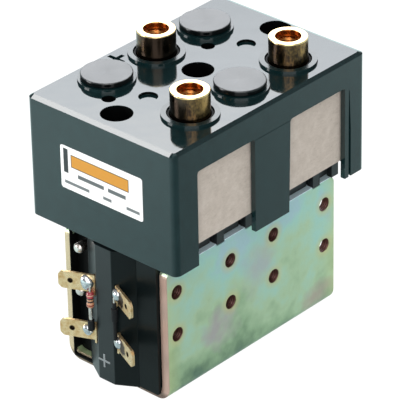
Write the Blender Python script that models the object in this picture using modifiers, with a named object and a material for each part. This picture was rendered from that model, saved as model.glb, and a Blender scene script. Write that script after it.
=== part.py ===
"""Solenoid switch: a paired contactor with two coils in one steel frame.

Two pull-in solenoids stand side by side in a folded steel yoke.  Each draws
its plunger down, and the bridge on the plunger's spindle then joins a brass
post on the near side to a busbar that both halves share.  The middle post
takes the busbar out through the cover.

Frame: +X runs along the two coils, with the blades at the -X end.  +Z is up.
The origin is midway between the two coils, on the yoke's underside.  Lengths are
in metres.
"""

import math

import bmesh
import bpy
from mathutils import Matrix, Vector

MM = 0.001

# Clearances
GAP = 0.3 * MM
RUNNING_GAP = 0.5 * MM

# The two halves
COIL_PITCH = 46.4 * MM
POST_ROW = 17.8 * MM
TRAVEL = 2.5 * MM

# Steel yoke and pole plate
STEEL = 3.0 * MM
YOKE_END = 40.6 * MM
YOKE_FAR_END = 41.4 * MM
YOKE_WIDTH = 44.2 * MM
YOKE_HEIGHT = 48.4 * MM
YOKE_BEND = 4.9 * MM
YOKE_CORNER = 2.5 * MM
SIDE_HOLE = 5.0 * MM
SIDE_HOLE_PITCH = 25.4 * MM
SIDE_HOLE_UPPER = YOKE_HEIGHT - 9.0 * MM
SIDE_HOLE_LOWER = 23.7 * MM
TONGUE_HALF = 7.5 * MM
YOKE_INNER = YOKE_WIDTH / 2 - STEEL

# Coils and magnetic cores
COIL_SIDE_ROOM = 3.1 * MM
BOBBIN_RADIUS = YOKE_INNER - COIL_SIDE_ROOM
BOBBIN_FLANGE = 1.6 * MM
BOBBIN_WALL = 1.1 * MM
FLANGE_OVERHANG = 1.0 * MM
WINDING_RADIUS = BOBBIN_RADIUS - FLANGE_OVERHANG
PLUNGER_RADIUS = 7.0 * MM
CORE_HEIGHT = 17.0 * MM
NOSE_HEIGHT = 3.0 * MM
NOSE_TOP_RADIUS = 4.4 * MM
NOSE_TIP_RADIUS = 2.4 * MM
PLUNGER_STAND = 0.6 * MM
CORE_SCREW = 6.0 * MM
CORE_SCREW_HEAD = 11.0 * MM
CORE_SCREW_DEPTH = 11.0 * MM
CORE_SCREW_SOCKET = 2.2 * MM
CORE_SCREW_SOCKET_DEPTH = 2.0 * MM

# Spindle, springs and moving bridge
SPINDLE = 4.0 * MM
SPINDLE_DEPTH = 8.0 * MM
SPINDLE_HEAD = 0.9 * MM
SPINDLE_HEAD_OVERHANG = 0.9 * MM
SPRING_SEAT_RADIUS = 5.0 * MM
SPRING_SEAT = 1.2 * MM
RETURN_SPRING_LENGTH = 7.4 * MM
RETURN_SPRING_RADIUS = 4.3 * MM
RETURN_WIRE = 0.9 * MM
RETURN_TURNS = 4
CONTACT_SPRING_LENGTH = 7.6 * MM
CONTACT_SPRING_RADIUS = 3.3 * MM
CONTACT_WIRE = 0.8 * MM
CONTACT_TURNS = 4
CLOSED_COIL_SHARE = 0.035
RETAINER = 1.2 * MM
RETAINER_RADIUS = 4.4 * MM
SHOULDER = 1.9 * MM
SHOULDER_RADIUS = 3.4 * MM
BRIDGE_LENGTH = 21.6 * MM
BRIDGE_WIDTH = 8.0 * MM
BRIDGE_THICK = 2.2 * MM
TIP_RADIUS = 3.4 * MM
TIP_THICK = 1.2 * MM
TIP_REACH = 7.0 * MM
COPPER_CORNER = 2.0 * MM

# Fixed contacts and terminal posts
COPPER = 2.5 * MM
CONTACT_RISE = 13.6 * MM
CONTACT_LEVEL = YOKE_HEIGHT + CONTACT_RISE
CONTACT_WIDTH = 14.0 * MM
CONTACT_INNER = 3.2 * MM
CONTACT_OUTER = 24.6 * MM
FINGER_CORNER = 1.6 * MM
FINGER_LAP = 2.0 * MM
POST_RADIUS = 6.4 * MM
POST_PROUD = 8.9 * MM
POST_BORE = 6.8 * MM
POST_RECESS = 8.2 * MM
POST_RECESS_DEPTH = 1.8 * MM
POST_BORE_DEPTH = 20.0 * MM
DRILL_POINT = 0.6
BUSH_RADIUS = 7.3 * MM
BUSH_DROP = 0.4 * MM
BUSH_COLLAR = 1.2 * MM
BUSH_COLLAR_RADIUS = 8.9 * MM
PLUG_RADIUS = 8.6 * MM
PLUG_PROUD = 1.9 * MM
PLUG_SHANK_RADIUS = 7.2 * MM
PLUG_SHANK = 6.0 * MM
PLUG_WALL = 1.4 * MM

# Cover moulding
COVER_LENGTH = 89.7 * MM
COVER_WIDTH = 61.9 * MM
COVER_STAND = 3.7 * MM
COVER_HEIGHT = 44.4 * MM
COVER_BOTTOM = YOKE_HEIGHT + COVER_STAND
COVER_TOP = COVER_BOTTOM + COVER_HEIGHT
COVER_DRAFT = 0.4 * MM
COVER_WALL = 1.8 * MM
COVER_ROOF = 2.6 * MM
COVER_CORNER = 2.2 * MM
COVER_CHAMFER = 1.5 * MM
BOSS_RADIUS = 9.5 * MM
BOSS_HEIGHT = 0.9 * MM
BOSS_DRAFT = 0.15 * MM
WINDOW_INNER = 8.2 * MM
WINDOW_OUTER = 35.1 * MM
WINDOW_DROP = 10.6 * MM
WINDOW_TOP = COVER_TOP - WINDOW_DROP
WINDOW_CORNER = 1.2 * MM
RIB_WIDTH = 2.4 * MM
RIB_GROOVE = 0.9 * MM
RIB_GROOVE_DEPTH = 0.7 * MM
PILLAR_CHAMFER = 0.8 * MM
SCREW_PITCH = 37.6 * MM
WELL_RADIUS = 5.25 * MM
WELL_WALL = 1.5 * MM
WELL_DEPTH = 24.0 * MM
VENT_RADIUS = 2.3 * MM
VENT_X = 9.1 * MM
VENT_Y = 8.4 * MM
DIMPLE_RADIUS = 3.15 * MM
DIMPLE_DEPTH = 0.7 * MM
COVER_SCREW = 4.0 * MM
COVER_SCREW_HEAD = 7.6 * MM
COVER_SCREW_HEAD_HEIGHT = 2.8 * MM
COVER_SCREW_SLOT = 1.0 * MM
COVER_SCREW_SLOT_DEPTH = 1.2 * MM

# Fibre side panels
PANEL_THICK = 1.25 * MM
PANEL_RISE = 9.9 * MM
PANEL_BOTTOM = YOKE_HEIGHT + PANEL_RISE
PANEL_LAP = 1.5 * MM
PANEL_EASE = 0.15 * MM

# Contact base moulding
BASE_LENGTH = 86.0 * MM
FOOT_INSET = 1.9 * MM
BASE_FOOT = YOKE_WIDTH - 2 * FOOT_INSET
BASE_FOOT_HEIGHT = 3.9 * MM
BASE_WALL = 1.6 * MM
BASE_END_WALL = 3.2 * MM
FLARE_RISE = 3.0 * MM
FLARE_HEIGHT = 5.8 * MM
FLARE_LOW = YOKE_HEIGHT + FLARE_RISE
FLARE_TOP = FLARE_LOW + FLARE_HEIGHT
RIM_HEIGHT = 6.0 * MM
TAB_DROP = 0.5 * MM
TAB_SLOT = 1.3 * MM
MIDDLE_TAB = 6.0 * MM
TAB_WIDTH = 3.3 * MM
TAB_PLACES = (15.1 * MM, 31.9 * MM)
PEDESTAL_WIDTH = 13.0 * MM
CUP_RADIUS = 6.6 * MM
CUP_WALL = 1.2 * MM
CUP_FLOOR = 1.5 * MM
CUP_HEIGHT = 3.0 * MM
BARRIER = 1.6 * MM
BARRIER_HEIGHT = 20.0 * MM

# End moulding with its ridge, and what it carries
MOULDING_THICK = 3.2 * MM
MOULDING_PROUD = 1.3 * MM
POCKET_LOW = YOKE_BEND + 0.7 * MM
POCKET_DROP = 1.2 * MM
POCKET_WALL = 1.0 * MM
RIDGE_DEPTH = 5.5 * MM
RIDGE_FRONT_HALF = 3.4 * MM
RIDGE_ROOT_HALF = 10.4 * MM
POCKET_STAND = 0.5 * MM
POCKET_INNER = RIDGE_ROOT_HALF + POCKET_STAND
POCKET_OUTER = YOKE_INNER - POCKET_WALL
RIDGE_ROOT = 1.4 * MM
RIDGE_BOTTOM = 1.7 * MM
RIDGE_TOP = COVER_BOTTOM - 0.3 * MM
BLADE_WIDTH = 6.3 * MM
BLADE_THICK = 0.8 * MM
BLADE_LENGTH = 12.2 * MM
BLADE_ANGLE = math.radians(24.0)
BLADE_CORNER = 1.2 * MM
BLADE_HOLE = 1.4 * MM
BLADE_HOLE_INSET = 4.1 * MM
BLADE_ROOT_X = -45.3 * MM
BLADE_ROOT_Y = 4.9 * MM
BLADE_LEVELS = (18.4 * MM, 36.3 * MM)
TANG_LENGTH = 3.6 * MM
TANG_DROP = 1.2 * MM
PIN_RADIUS = 1.7 * MM
PIN_OFFSET = 0.8 * MM
PIN_Y = (POCKET_INNER + POCKET_OUTER) / 2 - PIN_OFFSET
PIN_PROUD = 3.0 * MM
PIN_DOME = 0.7 * MM
PIN_LEVELS = (29.0 * MM, YOKE_HEIGHT - 3.4 * MM)
RESISTOR_RADIUS = 1.25 * MM
RESISTOR_LENGTH = 5.6 * MM
RESISTOR_DROP = 3.4 * MM
SLEEVE_RADIUS = 1.15 * MM
SLEEVE_LENGTH = 4.6 * MM
SLEEVE_EASE = 0.5 * MM
REAR_SLEEVE_RISE = 0.4 * MM
FRONT_SLEEVE_DROP = 4.4 * MM
LEAD_WIRE = 0.8 * MM
SUPPRESSOR_STAND = 1.6 * MM
SUPPRESSOR_PLACE = 1.5 * MM
SUPPRESSOR_BEND = 1.2 * MM

# Insulated leads of the far coil
COIL_LEAD = 1.6 * MM
COIL_LEAD_STAND = 1.5 * MM
COIL_LEAD_Y = YOKE_INNER - COIL_LEAD_STAND

ROUND_STEPS = 20
HIDDEN_STEPS = 14
SMALL_STEPS = 12
CLEARANCE_STEPS = 32
WIRE_STEPS = 9
CORNER_STEPS = 2
COVER_CORNER_STEPS = 3
BEND_STEPS = 5

# How far in along each side the middle point of a round corner stands, as a share of its radius
CUT_CORNER = 1 - math.sqrt(0.5)

# Points this close are one point, and round work is shaded smooth up to this angle
SAME_POINT = 0.000002
SMOOTH_ANGLE = math.radians(35)

COIL_SIDES = {"left": -1, "right": 1}
SCREW_PLACES = (-SCREW_PITCH, 0.0, SCREW_PITCH)


def remove_scene_objects():
    """Start from an empty scene."""
    for obj in list(bpy.data.objects):
        bpy.data.objects.remove(obj, do_unlink=True)


def new_collection(name):
    collection = bpy.data.collections.new(name)
    bpy.context.scene.collection.children.link(collection)
    return collection


remove_scene_objects()
PARTS = new_collection("solenoid_switch")
CUTTERS = new_collection("cutters")


def make_material(name, colour, roughness, metallic=0.0):
    material = bpy.data.materials.new(name)
    material.use_nodes = True
    shader = material.node_tree.nodes["Principled BSDF"]
    shader.inputs["Base Color"].default_value = (*colour, 1.0)
    shader.inputs["Roughness"].default_value = roughness
    shader.inputs["Metallic"].default_value = metallic
    return material


BLACK = make_material("black_phenolic", (0.035, 0.045, 0.045), 0.25)
PASSIVATE = make_material("yellow_passivated_steel", (0.46, 0.52, 0.34), 0.35, 0.8)
BRASS = make_material("machined_brass", (0.55, 0.37, 0.15), 0.3, 1.0)
FIBRE = make_material("fibre_board", (0.50, 0.44, 0.38), 0.9)
NYLON = make_material("natural_nylon", (0.62, 0.58, 0.48), 0.5)
ENAMEL = make_material("enamelled_copper", (0.35, 0.09, 0.03), 0.35, 0.6)
IRON = make_material("soft_iron", (0.32, 0.32, 0.33), 0.35, 1.0)
COPPER_METAL = make_material("bare_copper", (0.58, 0.24, 0.12), 0.3, 1.0)
SPRING_STEEL = make_material("spring_steel", (0.45, 0.45, 0.46), 0.3, 1.0)
TINNED = make_material("tinned_wire", (0.75, 0.75, 0.74), 0.25, 1.0)
SLEEVE_SKIN = make_material("black_sleeve", (0.02, 0.02, 0.025), 0.5)


def add_object(name, mesh, material=None, place=(0, 0, 0), turn=(0, 0, 0), smooth=False):
    """Wrap a mesh in an object of the part."""
    obj = bpy.data.objects.new(name, mesh)
    obj.location = place
    obj.rotation_euler = turn
    if material is None:
        CUTTERS.objects.link(obj)
        obj.hide_render = True
        obj.display_type = "WIRE"
    else:
        PARTS.objects.link(obj)
        mesh.materials.append(material)
    if smooth:
        mesh.shade_smooth()
        mesh.set_sharp_from_angle(angle=SMOOTH_ANGLE)
    return obj


def mesh_from(work, name):
    """Turn a bmesh into mesh data with its faces pointing out."""
    bmesh.ops.recalc_face_normals(work, faces=work.faces)
    mesh = bpy.data.meshes.new(name)
    work.to_mesh(mesh)
    work.free()
    return mesh


def block_mesh(name, low, high):
    """A rectangular block between two corners."""
    work = bmesh.new()
    size = Vector(high) - Vector(low)
    middle = (Vector(high) + Vector(low)) / 2
    matrix = Matrix.Translation(middle) @ Matrix.Diagonal((*size, 1.0))
    bmesh.ops.create_cube(work, size=1.0, matrix=matrix)
    return mesh_from(work, name)


def block(name, low, high, material=None, **where):
    return add_object(name, block_mesh(name, low, high), material, **where)


def rod(name, radius, start, length, axis="Z", material=None, top_radius=None, steps=ROUND_STEPS, **where):
    """A cylinder or cone from a start point along one axis."""
    work = bmesh.new()
    end_radius = radius if top_radius is None else top_radius
    bmesh.ops.create_cone(work, cap_ends=True, segments=steps, radius1=radius, radius2=end_radius,
                          depth=length)
    turn = {"Z": Matrix.Identity(4), "X": Matrix.Rotation(math.pi / 2, 4, "Y"),
            "Y": Matrix.Rotation(-math.pi / 2, 4, "X")}[axis]
    shift = Matrix.Translation(start) @ turn @ Matrix.Translation((0, 0, length / 2))
    bmesh.ops.transform(work, matrix=shift, verts=work.verts)
    return add_object(name, mesh_from(work, name), material, smooth=True, **where)


def prism_mesh(name, outline, low, high, axis="Z"):
    """A closed outline swept straight along one axis."""
    work = bmesh.new()
    if axis == "Z":
        corners = [(a, b, low) for a, b in outline]
        step = (0, 0, high - low)
    elif axis == "X":
        corners = [(low, a, b) for a, b in outline]
        step = (high - low, 0, 0)
    else:
        corners = [(a, low, b) for a, b in outline]
        step = (0, high - low, 0)
    face = work.faces.new([work.verts.new(corner) for corner in corners])
    swept = bmesh.ops.extrude_face_region(work, geom=[face])
    moved = [item for item in swept["geom"] if isinstance(item, bmesh.types.BMVert)]
    bmesh.ops.translate(work, vec=step, verts=moved)
    return mesh_from(work, name)


def rounded_outline(half_a, half_b, radius, middle=(0.0, 0.0), steps=CORNER_STEPS):
    """Corner points of a rectangle with round corners."""
    points = []
    for quarter, (side_a, side_b) in enumerate(((1, 1), (-1, 1), (-1, -1), (1, -1))):
        centre_a = middle[0] + side_a * (half_a - radius)
        centre_b = middle[1] + side_b * (half_b - radius)
        for step in range(steps + 1):
            angle = math.pi / 2 * (quarter + step / steps)
            points.append((centre_a + radius * math.cos(angle), centre_b + radius * math.sin(angle)))
    return points


def turned(name, profile, material, place=(0, 0, 0), steps=ROUND_STEPS, turn=(0, 0, 0)):
    """A profile of (radius, height) points, top to bottom, revolved round Z."""
    mesh = bpy.data.meshes.new(name)
    points = [(radius, 0.0, height) for radius, height in profile]
    closed = profile[0][0] > 0 and profile[-1][0] > 0
    edges = [(index, index + 1) for index in range(len(points) - 1)]
    if closed:
        edges.append((len(points) - 1, 0))
    mesh.from_pydata(points, edges, [])
    obj = add_object(name, mesh, material, place, turn)
    screw = obj.modifiers.new("revolve", "SCREW")
    screw.steps = steps
    screw.render_steps = steps
    screw.use_merge_vertices = True
    screw.merge_threshold = SAME_POINT
    screw.use_smooth_shade = True
    return obj


def realise(obj):
    """Give an object the mesh that its modifiers make of it."""
    bpy.context.view_layer.update()
    graph = bpy.context.evaluated_depsgraph_get()
    mesh = bpy.data.meshes.new_from_object(obj.evaluated_get(graph))
    work = bmesh.new()
    work.from_mesh(mesh)
    bmesh.ops.remove_doubles(work, verts=work.verts, dist=SAME_POINT)
    bmesh.ops.recalc_face_normals(work, faces=work.faces)
    work.to_mesh(mesh)
    work.free()
    obj.modifiers.clear()
    obj.data = mesh
    return obj


def combine(obj, other, operation):
    """Join, cut or trim an object with a cutter, by an exact Boolean."""
    modifier = obj.modifiers.new(other.name, "BOOLEAN")
    modifier.operation = operation
    modifier.solver = "EXACT"
    modifier.object = other
    return modifier


def cut(obj, *cutters):
    for cutter in cutters:
        combine(obj, cutter, "DIFFERENCE")


def join(obj, *pieces):
    for piece in pieces:
        combine(obj, piece, "UNION")


def round_edges(obj, width, segments=2, angle=40):
    """Round the edges that are sharper than an angle."""
    bevel = obj.modifiers.new("round_edges", "BEVEL")
    bevel.width = width
    bevel.segments = segments
    bevel.limit_method = "ANGLE"
    bevel.angle_limit = math.radians(angle)
    bevel.use_clamp_overlap = True
    return bevel


def wire(name, points, diameter, material, place=(0, 0, 0), sides=2):
    """A round wire along a list of points, as a closed mesh."""
    curve = bpy.data.curves.new(name, "CURVE")
    curve.dimensions = "3D"
    curve.bevel_depth = diameter / 2
    curve.bevel_resolution = sides
    curve.use_fill_caps = True
    spline = curve.splines.new("POLY")
    spline.points.add(len(points) - 1)
    for point, where in zip(spline.points, points):
        point.co = (*where, 1.0)
    source = bpy.data.objects.new(name + "_path", curve)
    CUTTERS.objects.link(source)
    bpy.context.view_layer.update()
    graph = bpy.context.evaluated_depsgraph_get()
    mesh = bpy.data.meshes.new_from_object(source.evaluated_get(graph))
    bpy.data.objects.remove(source)
    work = bmesh.new()
    work.from_mesh(mesh)
    bmesh.ops.remove_doubles(work, verts=work.verts, dist=SAME_POINT)
    bmesh.ops.recalc_face_normals(work, faces=work.faces)
    work.to_mesh(mesh)
    work.free()
    mesh.name = name
    return add_object(name, mesh, material, place, smooth=True)


def coil_x(side):
    """The X of one coil's axis."""
    return side * COIL_PITCH / 2


# Heights that the pieces share
FLOOR = STEEL
POLE_TOP = YOKE_HEIGHT
POLE_BOTTOM = POLE_TOP - STEEL
BASE_BOTTOM = POLE_TOP + GAP
BASE_FLOOR = BASE_BOTTOM + BASE_FOOT_HEIGHT
CORE_TOP = FLOOR + GAP + CORE_HEIGHT
PLUNGER_BOTTOM = CORE_TOP + TRAVEL + GAP
PLUNGER_TOP = POLE_TOP + PLUNGER_STAND
CUP_SEAT = PLUNGER_TOP + RUNNING_GAP + CUP_FLOOR
RETURN_LOW = CUP_SEAT + GAP
RETURN_HIGH = RETURN_LOW + RETURN_SPRING_LENGTH
SEAT_LOW = RETURN_HIGH + GAP
FIXED_TIP_TOP = CONTACT_LEVEL + COPPER + TIP_THICK
BRIDGE_TIP_LOW = FIXED_TIP_TOP + TRAVEL + GAP
BRIDGE_LOW = BRIDGE_TIP_LOW + TIP_THICK
BRIDGE_HIGH = BRIDGE_LOW + BRIDGE_THICK
CONTACT_SPRING_LOW = BRIDGE_HIGH + GAP
CONTACT_SPRING_HIGH = CONTACT_SPRING_LOW + CONTACT_SPRING_LENGTH
RETAINER_LOW = CONTACT_SPRING_HIGH + GAP
BOSS_TOP = COVER_TOP + BOSS_HEIGHT
CEILING = COVER_TOP - COVER_ROOF
WELL_FLOOR = COVER_TOP - WELL_DEPTH
POST_BOTTOM = CONTACT_LEVEL + COPPER + GAP
PANEL_FACE = COVER_WIDTH / 2 - COVER_WALL - GAP
RIM_OUTER = PANEL_FACE - PANEL_THICK - GAP
RIM_TOP = PANEL_BOTTOM + RIM_HEIGHT
MOULDING_FRONT = -YOKE_END - MOULDING_PROUD
MOULDING_BACK = -YOKE_END + MOULDING_THICK
POCKET_FLOOR = MOULDING_BACK - POCKET_WALL
POCKET_HIGH = POLE_TOP - POCKET_DROP


def make_frame():
    """The yoke: one steel sheet folded to a U, with tapped holes in both sides."""
    half = YOKE_WIDTH / 2
    path = [(-half, YOKE_HEIGHT)]
    for side in (-1, 1):
        centre_y = side * (half - YOKE_BEND)
        start = math.pi if side < 0 else 1.5 * math.pi
        for step in range(BEND_STEPS + 1):
            angle = start + math.pi / 2 * step / BEND_STEPS
            path.append((centre_y + YOKE_BEND * math.cos(angle), YOKE_BEND + YOKE_BEND * math.sin(angle)))
    path.append((half, YOKE_HEIGHT))
    work = bmesh.new()
    near = [work.verts.new((-YOKE_END, y, z)) for y, z in path]
    far = [work.verts.new((YOKE_FAR_END, y, z)) for y, z in path]
    for index in range(len(path) - 1):
        work.faces.new((near[index], near[index + 1], far[index + 1], far[index]))
    mesh = bpy.data.meshes.new("frame")
    work.to_mesh(mesh)
    work.free()
    frame = add_object("frame", mesh, PASSIVATE)
    sheet = frame.modifiers.new("sheet", "SOLIDIFY")
    sheet.thickness = STEEL
    sheet.offset = -1.0
    sheet.use_even_offset = True
    realise(frame)
    inward = max(abs(vertex.co.y) for vertex in frame.data.vertices)
    assert inward < half + GAP, "the sheet is laid on the outside"
    middle = ((YOKE_FAR_END - YOKE_END) / 2, YOKE_HEIGHT / 2 - YOKE_CORNER)
    half_length = (YOKE_FAR_END + YOKE_END) / 2
    blank = rounded_outline(half_length, YOKE_HEIGHT / 2 + YOKE_CORNER, YOKE_CORNER, middle)
    trimmer = prism_mesh("frame_outline", blank, -half - STEEL, half + STEEL, "Y")
    combine(frame, add_object("frame_outline", trimmer), "INTERSECT")
    for side in COIL_SIDES.values():
        for column in (-1, 1):
            x = coil_x(side) + column * SIDE_HOLE_PITCH / 2
            for level in (SIDE_HOLE_LOWER, SIDE_HOLE_UPPER):
                start = (x, -half - STEEL, level)
                cut(frame, rod("side_hole", SIDE_HOLE / 2, start, YOKE_WIDTH + 2 * STEEL, "Y",
                               steps=SMALL_STEPS))
        slope = (CORE_SCREW_HEAD - CORE_SCREW) / 2 / (STEEL - GAP)
        sink = rod("core_screw_sink", CORE_SCREW_HEAD / 2 + GAP + 2 * GAP * slope, (coil_x(side), 0, -GAP),
                   STEEL + 2 * GAP, top_radius=CORE_SCREW / 2 + GAP - GAP * slope, steps=HIDDEN_STEPS)
        cut(frame, sink)
    for side, start, finish in tab_places():
        cut(frame, side_block("tab_seat", side, start - GAP, finish + GAP, BASE_FOOT / 2 - STEEL, YOKE_WIDTH,
                              POLE_TOP - TAB_DROP - GAP, POLE_TOP + STEEL))
    return frame


def make_top_plate():
    """The pole plate that closes the magnetic path round both plungers."""
    front = MOULDING_BACK + GAP
    plate = block("top_plate", (front, -YOKE_INNER + GAP, POLE_BOTTOM),
                  (YOKE_FAR_END - GAP, YOKE_INNER - GAP, POLE_TOP), IRON)
    tongue = block("top_plate_tongue", (-YOKE_END + GAP, -TONGUE_HALF, POLE_BOTTOM),
                   (front + STEEL, TONGUE_HALF, POLE_TOP))
    join(plate, tongue)
    for side in COIL_SIDES.values():
        start = (coil_x(side), 0, POLE_BOTTOM - STEEL)
        cut(plate, rod("plunger_hole", PLUNGER_RADIUS + RUNNING_GAP, start, 3 * STEEL))
    for place in SCREW_PLACES:
        start = (place, 0, POLE_BOTTOM - STEEL)
        radius = COVER_SCREW / 2 + GAP
        cut(plate, rod("screw_hole", radius, start, 3 * STEEL, steps=SMALL_STEPS))
    return plate


def make_bobbin(side_name, side):
    """A moulded spool: a tube with a flange at each end."""
    bore = PLUNGER_RADIUS + RUNNING_GAP
    tube = bore + BOBBIN_WALL
    low = FLOOR + GAP
    high = POLE_BOTTOM - GAP
    profile = [
        (tube, high - BOBBIN_FLANGE), (tube, low + BOBBIN_FLANGE),
        (BOBBIN_RADIUS, low + BOBBIN_FLANGE), (BOBBIN_RADIUS, low),
        (bore, low), (bore, high),
        (BOBBIN_RADIUS, high), (BOBBIN_RADIUS, high - BOBBIN_FLANGE),
    ]
    return turned("bobbin_" + side_name, profile, NYLON, (coil_x(side), 0, 0), HIDDEN_STEPS)


def make_winding(side_name, side):
    """The wound coil, a little fuller at mid height, with eased corners."""
    inner = PLUNGER_RADIUS + RUNNING_GAP + BOBBIN_WALL + GAP
    low = FLOOR + 2 * GAP + BOBBIN_FLANGE
    high = POLE_BOTTOM - 2 * GAP - BOBBIN_FLANGE
    ease = 0.8 * MM
    fullness = 0.4 * MM
    profile = [(inner, high), (WINDING_RADIUS - fullness - ease, high)]
    for step in range(3):
        share = step / 2
        radius = WINDING_RADIUS - fullness * (2 * share - 1) ** 2
        profile.append((radius, high - ease - share * (high - low - 2 * ease)))
    profile += [(WINDING_RADIUS - fullness - ease, low), (inner, low)]
    return turned("coil_winding_" + side_name, profile, ENAMEL, (coil_x(side), 0, 0), HIDDEN_STEPS)


def make_core(side_name, side):
    """The fixed core, with a conical seat for the plunger's nose and a tapped foot."""
    low = FLOOR + GAP
    rim = PLUNGER_RADIUS
    thread = CORE_SCREW / 2 + GAP
    profile = [
        (0, CORE_TOP - NOSE_HEIGHT), (NOSE_TIP_RADIUS + GAP, CORE_TOP - NOSE_HEIGHT),
        (NOSE_TOP_RADIUS + GAP, CORE_TOP), (rim, CORE_TOP), (rim, low),
        (thread, low), (thread, low + CORE_SCREW_DEPTH), (0, low + CORE_SCREW_DEPTH),
    ]
    return turned("fixed_core_" + side_name, profile, IRON, (coil_x(side), 0, 0), HIDDEN_STEPS)


def make_core_screw(side_name, side):
    """A countersunk screw that holds the core to the yoke, with a hexagon socket."""
    top = FLOOR + CORE_SCREW_DEPTH - GAP
    shank = CORE_SCREW / 2
    head = CORE_SCREW_HEAD / 2
    profile = [(0, top), (shank - GAP, top), (shank, top - 2 * GAP), (shank, STEEL), (head, GAP),
               (head - GAP, 0), (0, 0)]
    screw = turned("core_screw_" + side_name, profile, SPRING_STEEL, (coil_x(side), 0, 0), HIDDEN_STEPS)
    realise(screw)
    socket = rod("core_screw_socket", CORE_SCREW_SOCKET, (coil_x(side), 0, -STEEL),
                 STEEL + CORE_SCREW_SOCKET_DEPTH, steps=6)
    cut(screw, socket)
    return screw


def make_plunger(side_name, side):
    """The moving core: a ground slug with a coned nose and a bore for its spindle."""
    bore = SPINDLE / 2 + GAP
    depth = PLUNGER_TOP - SPINDLE_DEPTH - GAP
    ease = 0.5 * MM
    profile = [
        (0, depth), (bore, depth), (bore, PLUNGER_TOP), (PLUNGER_RADIUS - ease, PLUNGER_TOP),
        (PLUNGER_RADIUS, PLUNGER_TOP - ease), (PLUNGER_RADIUS, PLUNGER_BOTTOM + ease),
        (PLUNGER_RADIUS - ease, PLUNGER_BOTTOM), (NOSE_TOP_RADIUS, PLUNGER_BOTTOM),
        (NOSE_TIP_RADIUS, PLUNGER_BOTTOM - NOSE_HEIGHT + GAP), (0, PLUNGER_BOTTOM - NOSE_HEIGHT + GAP),
    ]
    return turned("plunger_" + side_name, profile, IRON, (coil_x(side), 0, 0), HIDDEN_STEPS)


def make_spindle(side_name, side):
    """The turned rod that carries the springs and the bridge above the plunger."""
    radius = SPINDLE / 2
    head = radius + SPINDLE_HEAD_OVERHANG
    top = RETAINER_LOW + RETAINER + GAP
    head_top = top + SPINDLE_HEAD
    shoulder_top = BRIDGE_LOW - GAP
    profile = [
        (0, head_top), (head - GAP, head_top), (head, head_top - GAP),
        (head, top), (radius, top), (radius, shoulder_top), (SHOULDER_RADIUS, shoulder_top),
        (SHOULDER_RADIUS, shoulder_top - SHOULDER), (radius, shoulder_top - SHOULDER),
        (radius, SEAT_LOW + SPRING_SEAT), (SPRING_SEAT_RADIUS, SEAT_LOW + SPRING_SEAT),
        (SPRING_SEAT_RADIUS, SEAT_LOW), (radius, SEAT_LOW),
        (radius, PLUNGER_TOP - SPINDLE_DEPTH), (0, PLUNGER_TOP - SPINDLE_DEPTH),
    ]
    return turned("spindle_" + side_name, profile, BRASS, (coil_x(side), 0, 0), SMALL_STEPS)


def helix(radius, low, high, turns):
    """Points along a coil whose last turn at each end lies nearly flat."""
    count = int(turns * WIRE_STEPS)
    points = []
    for index in range(count + 1):
        share = index / count
        eased = share - CLOSED_COIL_SHARE * math.sin(2 * math.pi * share)
        angle = 2 * math.pi * turns * share
        points.append((radius * math.cos(angle), radius * math.sin(angle), low + (high - low) * eased))
    return points


def make_return_spring(side_name, side):
    low = RETURN_LOW + RETURN_WIRE / 2
    high = RETURN_HIGH - RETURN_WIRE / 2
    points = helix(RETURN_SPRING_RADIUS, low, high, RETURN_TURNS)
    name = "return_spring_" + side_name
    return wire(name, points, RETURN_WIRE, SPRING_STEEL, (coil_x(side), 0, 0), sides=1)


def make_contact_spring(side_name, side):
    low = CONTACT_SPRING_LOW + CONTACT_WIRE / 2
    high = CONTACT_SPRING_HIGH - CONTACT_WIRE / 2
    points = helix(CONTACT_SPRING_RADIUS, low, high, CONTACT_TURNS)
    name = "contact_spring_" + side_name
    return wire(name, points, CONTACT_WIRE, SPRING_STEEL, (coil_x(side), 0, 0), sides=1)


def make_retainer(side_name, side):
    """The washer that holds the contact spring down on its spindle."""
    bore = SPINDLE / 2 + GAP
    high = RETAINER_LOW + RETAINER
    ease = 0.25 * MM
    profile = [(bore, high), (RETAINER_RADIUS - ease, high), (RETAINER_RADIUS, high - ease),
               (RETAINER_RADIUS, RETAINER_LOW), (bore, RETAINER_LOW)]
    return turned("spring_retainer_" + side_name, profile, SPRING_STEEL, (coil_x(side), 0, 0), SMALL_STEPS)


def make_bridge(side_name, side):
    """The moving copper bar with a brazed tip under each end."""
    outline = rounded_outline(BRIDGE_WIDTH / 2, BRIDGE_LENGTH / 2, COPPER_CORNER)
    name = "contact_bridge_" + side_name
    mesh = prism_mesh(name, outline, BRIDGE_LOW, BRIDGE_HIGH)
    bridge = add_object(name, mesh, COPPER_METAL, (coil_x(side), 0, 0))
    for end in (-1, 1):
        start = (coil_x(side), end * TIP_REACH, BRIDGE_TIP_LOW)
        join(bridge, rod("bridge_tip", TIP_RADIUS, start, TIP_THICK + GAP, steps=SMALL_STEPS))
    start = (coil_x(side), 0, BRIDGE_LOW - STEEL)
    cut(bridge, rod("bridge_hole", SPINDLE / 2 + GAP, start, 3 * STEEL, steps=SMALL_STEPS))
    return bridge


def contact_tip(x, y):
    """The raised tip on a fixed contact."""
    start = (x, y, CONTACT_LEVEL + COPPER - GAP)
    return rod("fixed_tip", TIP_RADIUS, start, TIP_THICK + GAP, steps=SMALL_STEPS)


def make_fixed_contact(side_name, side):
    """The copper plate under a near post, reaching in below the bridge."""
    name = "fixed_contact_" + side_name
    length = (CONTACT_OUTER - CONTACT_INNER) / 2
    middle = -(CONTACT_OUTER + CONTACT_INNER) / 2
    outline = rounded_outline(CONTACT_WIDTH / 2, length, COPPER_CORNER, (coil_x(side), middle))
    mesh = prism_mesh(name, outline, CONTACT_LEVEL, CONTACT_LEVEL + COPPER)
    plate = add_object(name, mesh, COPPER_METAL)
    join(plate, contact_tip(coil_x(side), -TIP_REACH))
    return plate


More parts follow.
